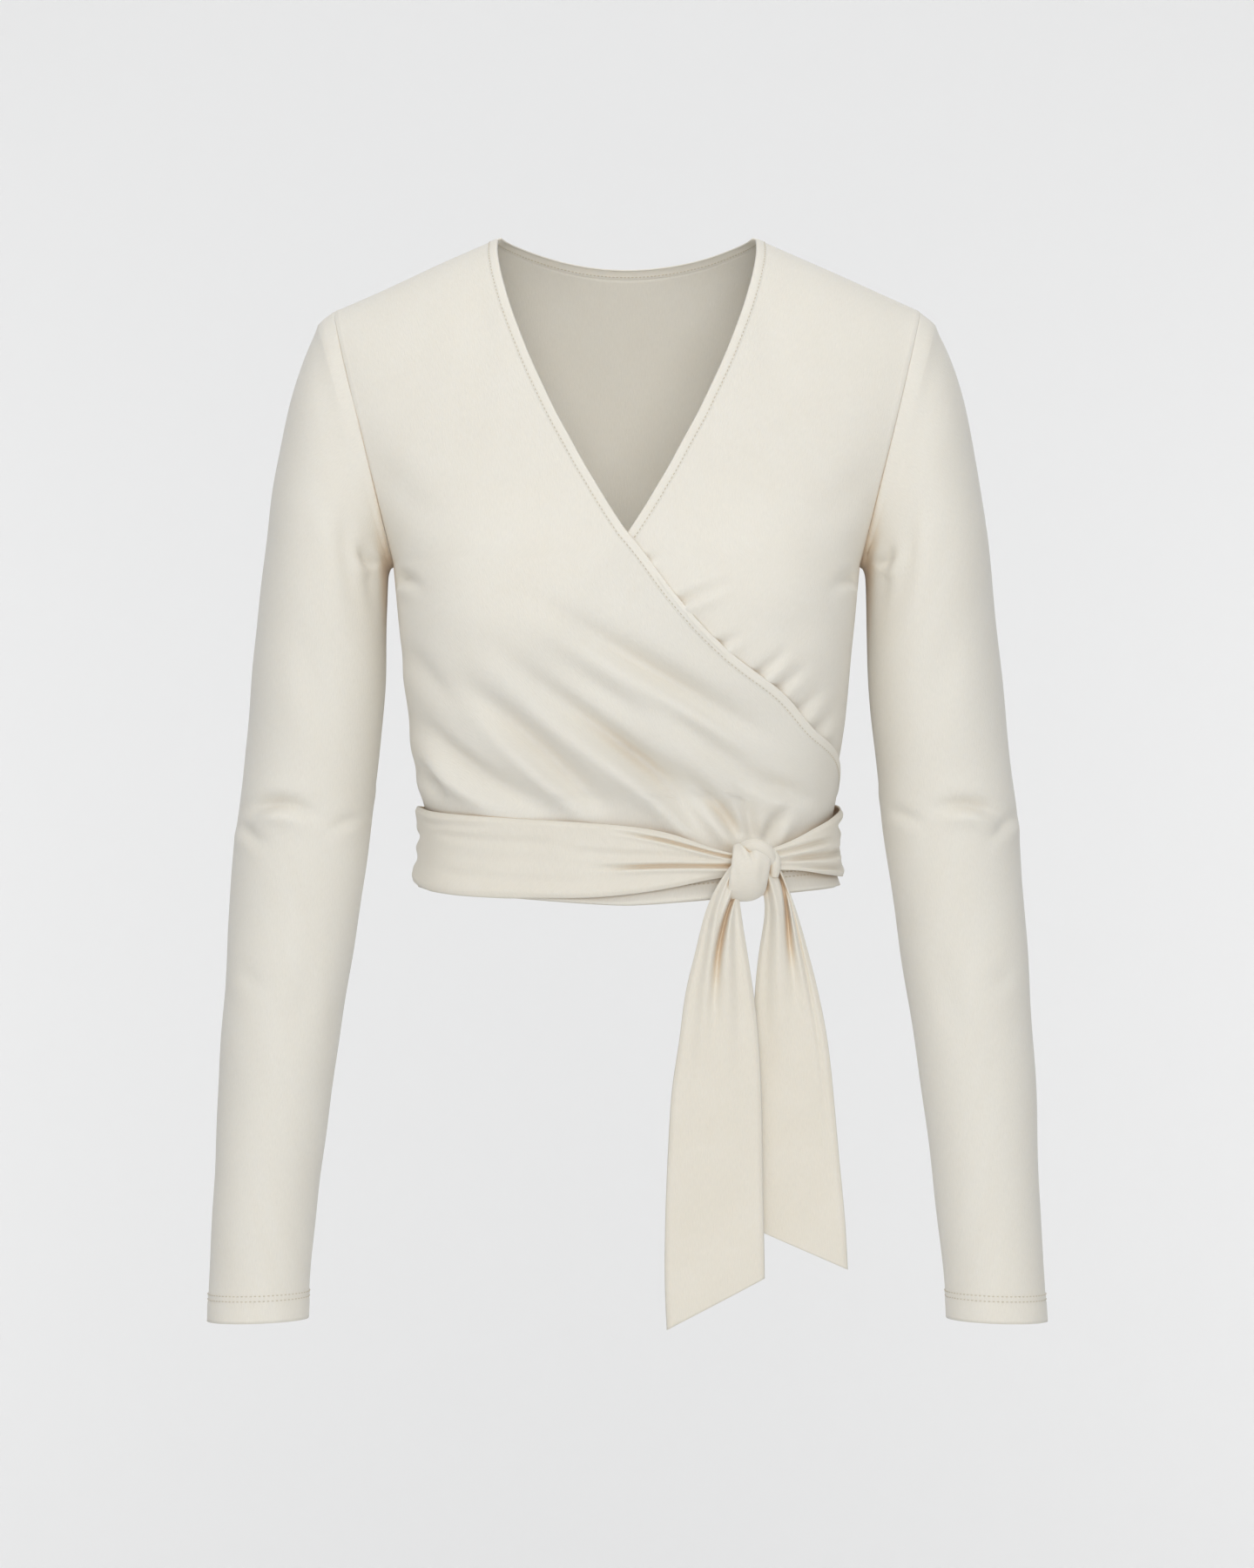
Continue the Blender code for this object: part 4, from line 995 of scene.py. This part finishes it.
def sleeve(side):
    """A sleeve's points and normals, as a grid of closed rings."""
    turn = np.linspace(0, 2 * math.pi, SLEEVE_COLUMNS, endpoint=False)
    place = np.concatenate((np.linspace(0, 6, 80, endpoint=False), np.linspace(6, 19, 166)))
    outer, inner = (np.stack((at(SLEEVE_DENSE, f"{edge}_x", place), at(SLEEVE_DENSE, "centre_y", place),
                              at(SLEEVE_DENSE, f"{edge}_z", place)), -1) for edge in ("outer", "inner"))
    middle = (outer + inner) / 2
    half = (outer - inner) / 2
    points = middle[:, None] + half[:, None] * np.cos(turn)[:, None]
    points[..., 1] -= at(SLEEVE_DENSE, "half_depth", place)[:, None] * np.sin(turn)
    seam = armhole_loop(turn, ARMHOLE_TUCK)
    head = [seam + (points[0] - seam) * share for share in HEAD_SHARES]
    points = np.concatenate((head, points))
    normal = -normals_of(points, closed=True)
    x, z = points[..., 0], points[..., 2]
    facing = smooth_step(-0.25, 0.35, np.sin(turn))
    elbow = RIGHT_ELBOW if side < 0 else LEFT_ELBOW
    offset = (creases(x, z, SLEEVE_CREASES) + creases(x, z, elbow)) * facing
    offset += creases(x, z, BACK_ELBOW) * (1 - facing)
    offset += unevenness(points * (side, 1, 1), *SLEEVE_WAVES, 21 + side)
    down = lengths(points, 0)
    offset += seam_dip(down) + HEAD_FULLNESS * bell((down - HEAD_PLACE) / HEAD_REACH) * (1 + np.cos(turn)) / 2
    # The underarm seam runs down the sleeve's inner edge.
    offset -= UNDERARM_SEAM_DIP * bell((turn - math.pi) / UNDERARM_SEAM_TURN)
    offset += hem_shape(down[[-1]] - down, CUFF_DEPTH)
    points = (points + normal * offset[..., None]) * (side, 1, 1)
    return points[:, ::-side], normal[:, ::-side] * (side, 1, 1)


for side, name in ((-1, "sleeve_right"), (1, "sleeve_left")):
    points, normal = sleeve(side)
    panel(name, points, "jersey", SHELL, cloth_finish, closed=True)
    hem_stitches(f"{name}_cuff", points, normal, CUFF_DEPTH, closed=True)

# The tie.


def tie_run(run, folds, first, last, rows, columns):
    """A run of the tie round the body, from its upper edge to its lower one."""
    dense = soften(run, TIE_SOFTENING)
    degrees = np.linspace(first, last, rows)
    share = np.linspace(0, 1, columns)
    angle = np.broadcast_to(np.radians(degrees)[:, None], (rows, columns))
    upper = at(dense, "upper_z", degrees)[:, None]
    lower = at(dense, "lower_z", degrees)[:, None]
    width = upper - lower
    z = upper + (lower - upper) * share
    base = form(level_of(z, angle), angle)
    base[..., 2] = z
    normal = normals_of(base) * (-1 if last > first else 1)
    height = at(dense, "lift", degrees)[:, None] + 0 * share
    for row in rows_of(folds):
        keys = sorted((row[f"angle{k}"], row[f"share{k}"]) for k in range(3))
        line = look_up(table("angle share", *keys), "share", degrees)[:, None]
        low, high = keys[0][0], keys[-1][0]
        ends = TIE_FADE * (high - low)
        fade = (smooth_step(low, low + ends, degrees) * smooth_step(0, ends, high - degrees))[:, None]
        gap = (share - line) * width / row["width"]
        ridges = sum(tall * bell((gap - place) / TIE_RIDGE_WIDTH) for place, tall in TIE_RIDGES)
        height = height + row["depth"] * fade * (ridges - bell(gap))
    height = height - RUN_EDGE_DROP * bell(np.minimum(share, 1 - share) * width / FOLD_EDGE)
    height = height + unevenness(base, *TIE_WAVES, 31)
    points = base + normal * height[..., None]
    points = points if last > first else points[::-1]
    return points.transpose(1, 0, 2)


over_grid = tie_run(OVER_TIE, OVER_TIE_CREASES, 101.0, 384.0, 400, 56)
under_grid = tie_run(UNDER_TIE, UNDER_TIE_CREASES, 271.8, 30.0, 360, 50)
over_run = panel("tie_over", over_grid, "tie", TIE_SHELL, tie_finish)
under_run = panel("tie_under", under_grid, "tie", TIE_SHELL, tie_finish)


FOLD_NECK = 0.12  # where down a tail its folds are at their neck and at their middle
FOLD_MIDDLE = 0.32
TAIL_BOW = 0.0008
GATHERED_BOW = 0.0035


def tail(edges, folds, rows, columns, seed):
    """A free end of the tie, from the knot down."""
    dense = soften(edges, TAIL_SOFTENING)
    place = np.linspace(0, edges["place"][-1], rows)
    share = np.linspace(0, 1, columns)
    left, right = (np.stack([at(dense, key, place) for key in (f"{edge}_x", "y", f"{edge}_z")], -1)
                   for edge in ("left", "right"))
    points = left[:, None] + (right - left)[:, None] * share[:, None]
    down = place / place[-1]
    width = np.linalg.norm(right - left, axis=1)[:, None]
    for row in rows_of(folds):
        keys = ((0, row["top"]), (FOLD_NECK, row["neck"]), (FOLD_MIDDLE, row["middle"]), (1, row["end"]))
        line = look_up(table("down share", *keys), "share", down)[:, None]
        fade = smooth_step(-0.05, 0.10, down) * (1 - smooth_step(row["fades"] * 0.35, row["fades"], down))
        points[..., 1] += row["depth"] * fade[:, None] * bell((share - line) / row["width"])
    # The cloth bows forward across its width, more so where it is gathered.
    bow = TAIL_BOW + GATHERED_BOW * (1 - smooth_step(0.0, 0.9, down))[:, None]
    points[..., 1] -= bow * np.sin(math.pi * share)
    points[..., 1] += TAIL_EDGE_DROP * bell(np.minimum(share, 1 - share) * width / FOLD_EDGE)
    points[..., 1] += unevenness(points, *TAIL_WAVES, seed) * down[:, None]
    return points


front_tail_grid = tail(FRONT_TAIL, FRONT_TAIL_FOLDS, 190, 64, 41)
back_tail_grid = tail(BACK_TAIL, BACK_TAIL_FOLDS, 170, 64, 43)
front_tail = panel("tail_front", front_tail_grid, "tie", TIE_SHELL, tie_finish)
back_tail = panel("tail_back", back_tail_grid, "tie", TIE_SHELL, tie_finish)

# The knot: a broad turn of the tie over the front, and two narrower lobes behind its upper corner.
KNOT_RINGS = table(
    "place x y z half_depth half_height",
    (0.0, 0.0625, -0.0985, -0.3885, 0.0080, 0.0120),
    (0.6, 0.0612, -0.0990, -0.3885, 0.0110, 0.0150),
    (1.4, 0.0625, -0.0992, -0.3885, 0.0128, 0.0166),
    (3.0, 0.0690, -0.0990, -0.3885, 0.0145, 0.0176),
    (5.0, 0.0760, -0.0985, -0.3880, 0.0145, 0.0180),
    (6.6, 0.0830, -0.0970, -0.3870, 0.0128, 0.0158),
    (7.4, 0.0858, -0.0955, -0.3865, 0.0105, 0.0130),
    (8.0, 0.0850, -0.0945, -0.3865, 0.0075, 0.0100),
)
KNOT_CREASES = table(
    CREASE,
    (0.0685, -0.3700, 0.0735, -0.3760, 0.0765, -0.3850, 0.0024, 0.0016, 0.70, 0.30),
    (0.0625, -0.3800, 0.0650, -0.3900, 0.0660, -0.4000, 0.0006, 0.0022, 0.40, 0.50),
    (0.0820, -0.3760, 0.0815, -0.3880, 0.0800, -0.3990, 0.0007, 0.0024, 0.40, 0.50),
)
UPPER_LOBE = table(
    "place x y z",
    (0, 0.0660, -0.0960, -0.3800),
    (1, 0.0700, -0.1010, -0.3745),
    (2, 0.0765, -0.1060, -0.3728),
    (3, 0.0835, -0.1050, -0.3760),
    (4, 0.0870, -0.1010, -0.3830),
)
SIDE_LOBE = table(
    "place x y z",
    (0, 0.0790, -0.0960, -0.3760),
    (1, 0.0850, -0.1000, -0.3770),
    (2, 0.0885, -0.1010, -0.3830),
    (3, 0.0880, -0.0990, -0.3910),
)
KNOT_BOW = 0.0020
LOBE_FACING = np.array((0.0, -1.0, 0.15))


def centres(dense, place):
    return np.stack([at(dense, key, place) for key in ("x", "y", "z")], -1)[:, None]


def knot(rings=60, columns=120):
    """The knot's broad turn, as a grid of closed rings from its right edge to its left."""
    dense = soften(KNOT_RINGS, KNOT_SOFTENING)
    place = np.linspace(0, 8, rings)
    turn = np.linspace(0, 2 * math.pi, columns, endpoint=False)
    deep = at(dense, "half_depth", place)[:, None]
    high = at(dense, "half_height", place)[:, None]
    bow = np.broadcast_to(KNOT_BOW * np.sin(turn), (rings, columns))
    grid = centres(dense, place) + np.stack((bow, -deep * np.cos(turn), high * np.sin(turn)), -1)
    normal = normals_of(grid, closed=True)
    facing = smooth_step(-0.2, 0.3, -normal[..., 1])
    height = creases(grid[..., 0], grid[..., 2], KNOT_CREASES) * facing
    return grid + normal * height[..., None]


def lobe(path, width, thick, rows=60, columns=40):
    """A narrow fold of the tie as a flattened tube along a path."""
    dense = soften(path, LOBE_SOFTENING)
    centre = centres(dense, np.linspace(0, path["place"][-1], rows))
    run = unit(np.gradient(centre, axis=0))
    beside = unit(np.cross(run, LOBE_FACING))
    outward = np.cross(beside, run)
    turn = np.linspace(0, 2 * math.pi, columns, endpoint=False)[:, None]
    swell = np.sin(np.pi * np.linspace(0.12, 0.88, rows))[:, None, None] ** 0.35
    return centre + (beside * np.cos(turn) * width + outward * np.sin(turn) * thick) * swell


knot_piece = panel("knot", knot(), "tie", TIE_SHELL, tie_finish, closed=True)
for name, grid in (("knot_upper_lobe", lobe(UPPER_LOBE, 0.0045, 0.0040)),
                   ("knot_side_lobe", lobe(SIDE_LOBE, 0.0040, 0.0036))):
    cloth(name, grid, "tie", TIE_SHELL, tie_finish, closed=True)

# The room: a pale floor and backdrop, soft light, and the camera straight in front.


def plane(name, centre, turn, finish):
    bpy.ops.mesh.primitive_plane_add(size=16, location=centre, rotation=turn)
    made = bpy.context.object
    made.name = name
    made.data.materials.append(finish)


def lamp(name, place, target, size, watts, colour=WHITE):
    """A round soft light at a place, aimed at a target."""
    data = bpy.data.lights.new(name, "AREA")
    data.shape = "DISK"
    data.size = size
    data.energy = watts
    data.color = colour
    made = bpy.data.objects.new(name, data)
    bpy.context.scene.collection.objects.link(made)
    x, y, z = np.array(target) - np.array(place)
    made.location = place
    made.rotation_euler = (math.acos(-z / math.hypot(x, y, z)), 0, math.atan2(y, x) - math.pi / 2)


room = bpy.data.materials.new("room")
room.use_nodes = True
room_shader = room.node_tree.nodes["Principled BSDF"]
room_shader.inputs["Base Color"].default_value = PALE
room_shader.inputs["Roughness"].default_value = 0.9
plane("floor", (0, 0, -1.60), (0, 0, 0), room)
plane("backdrop", (0, 4.2, 0), (math.pi / 2, 0, 0), room)
lamp("key", (-0.45, -2.1, 2.3), (0, 0, -0.3), 1.4, 21, (1.0, 0.99, 0.97))
lamp("front", (0.2, -3.6, 0.1), (0, 0, -0.25), 1.8, 50, (1.0, 0.99, 0.98))
lamp("top", (0.0, -0.2, 2.2), (0, 0, -0.2), 2.0, 12)
lamp("wall_left", (-2.4, 2.3, -0.4), (-0.2, 4.2, -0.4), 1.8, 18)
lamp("wall_right", (2.4, 2.3, -0.4), (0.2, 4.2, -0.4), 1.8, 18)
lamp("wall", (0.0, 2.4, 2.6), (0, 4.2, -0.2), 2.4, 13)

world = bpy.data.worlds.new("studio")
world.use_nodes = True
world.node_tree.nodes["Background"].inputs["Color"].default_value = (0.93, 0.94, 0.95, 1.0)
world.node_tree.nodes["Background"].inputs["Strength"].default_value = 0.44
bpy.context.scene.world = world
bpy.context.scene.view_settings.view_transform = "Standard"

camera_data = bpy.data.cameras.new("camera")
camera_data.lens = 120.8
camera = bpy.data.objects.new("camera", camera_data)
camera.location = (0.0, -3.25, -0.3358)
camera.rotation_euler = (math.pi / 2, 0, 0)
bpy.context.scene.collection.objects.link(camera)
bpy.context.scene.camera = camera
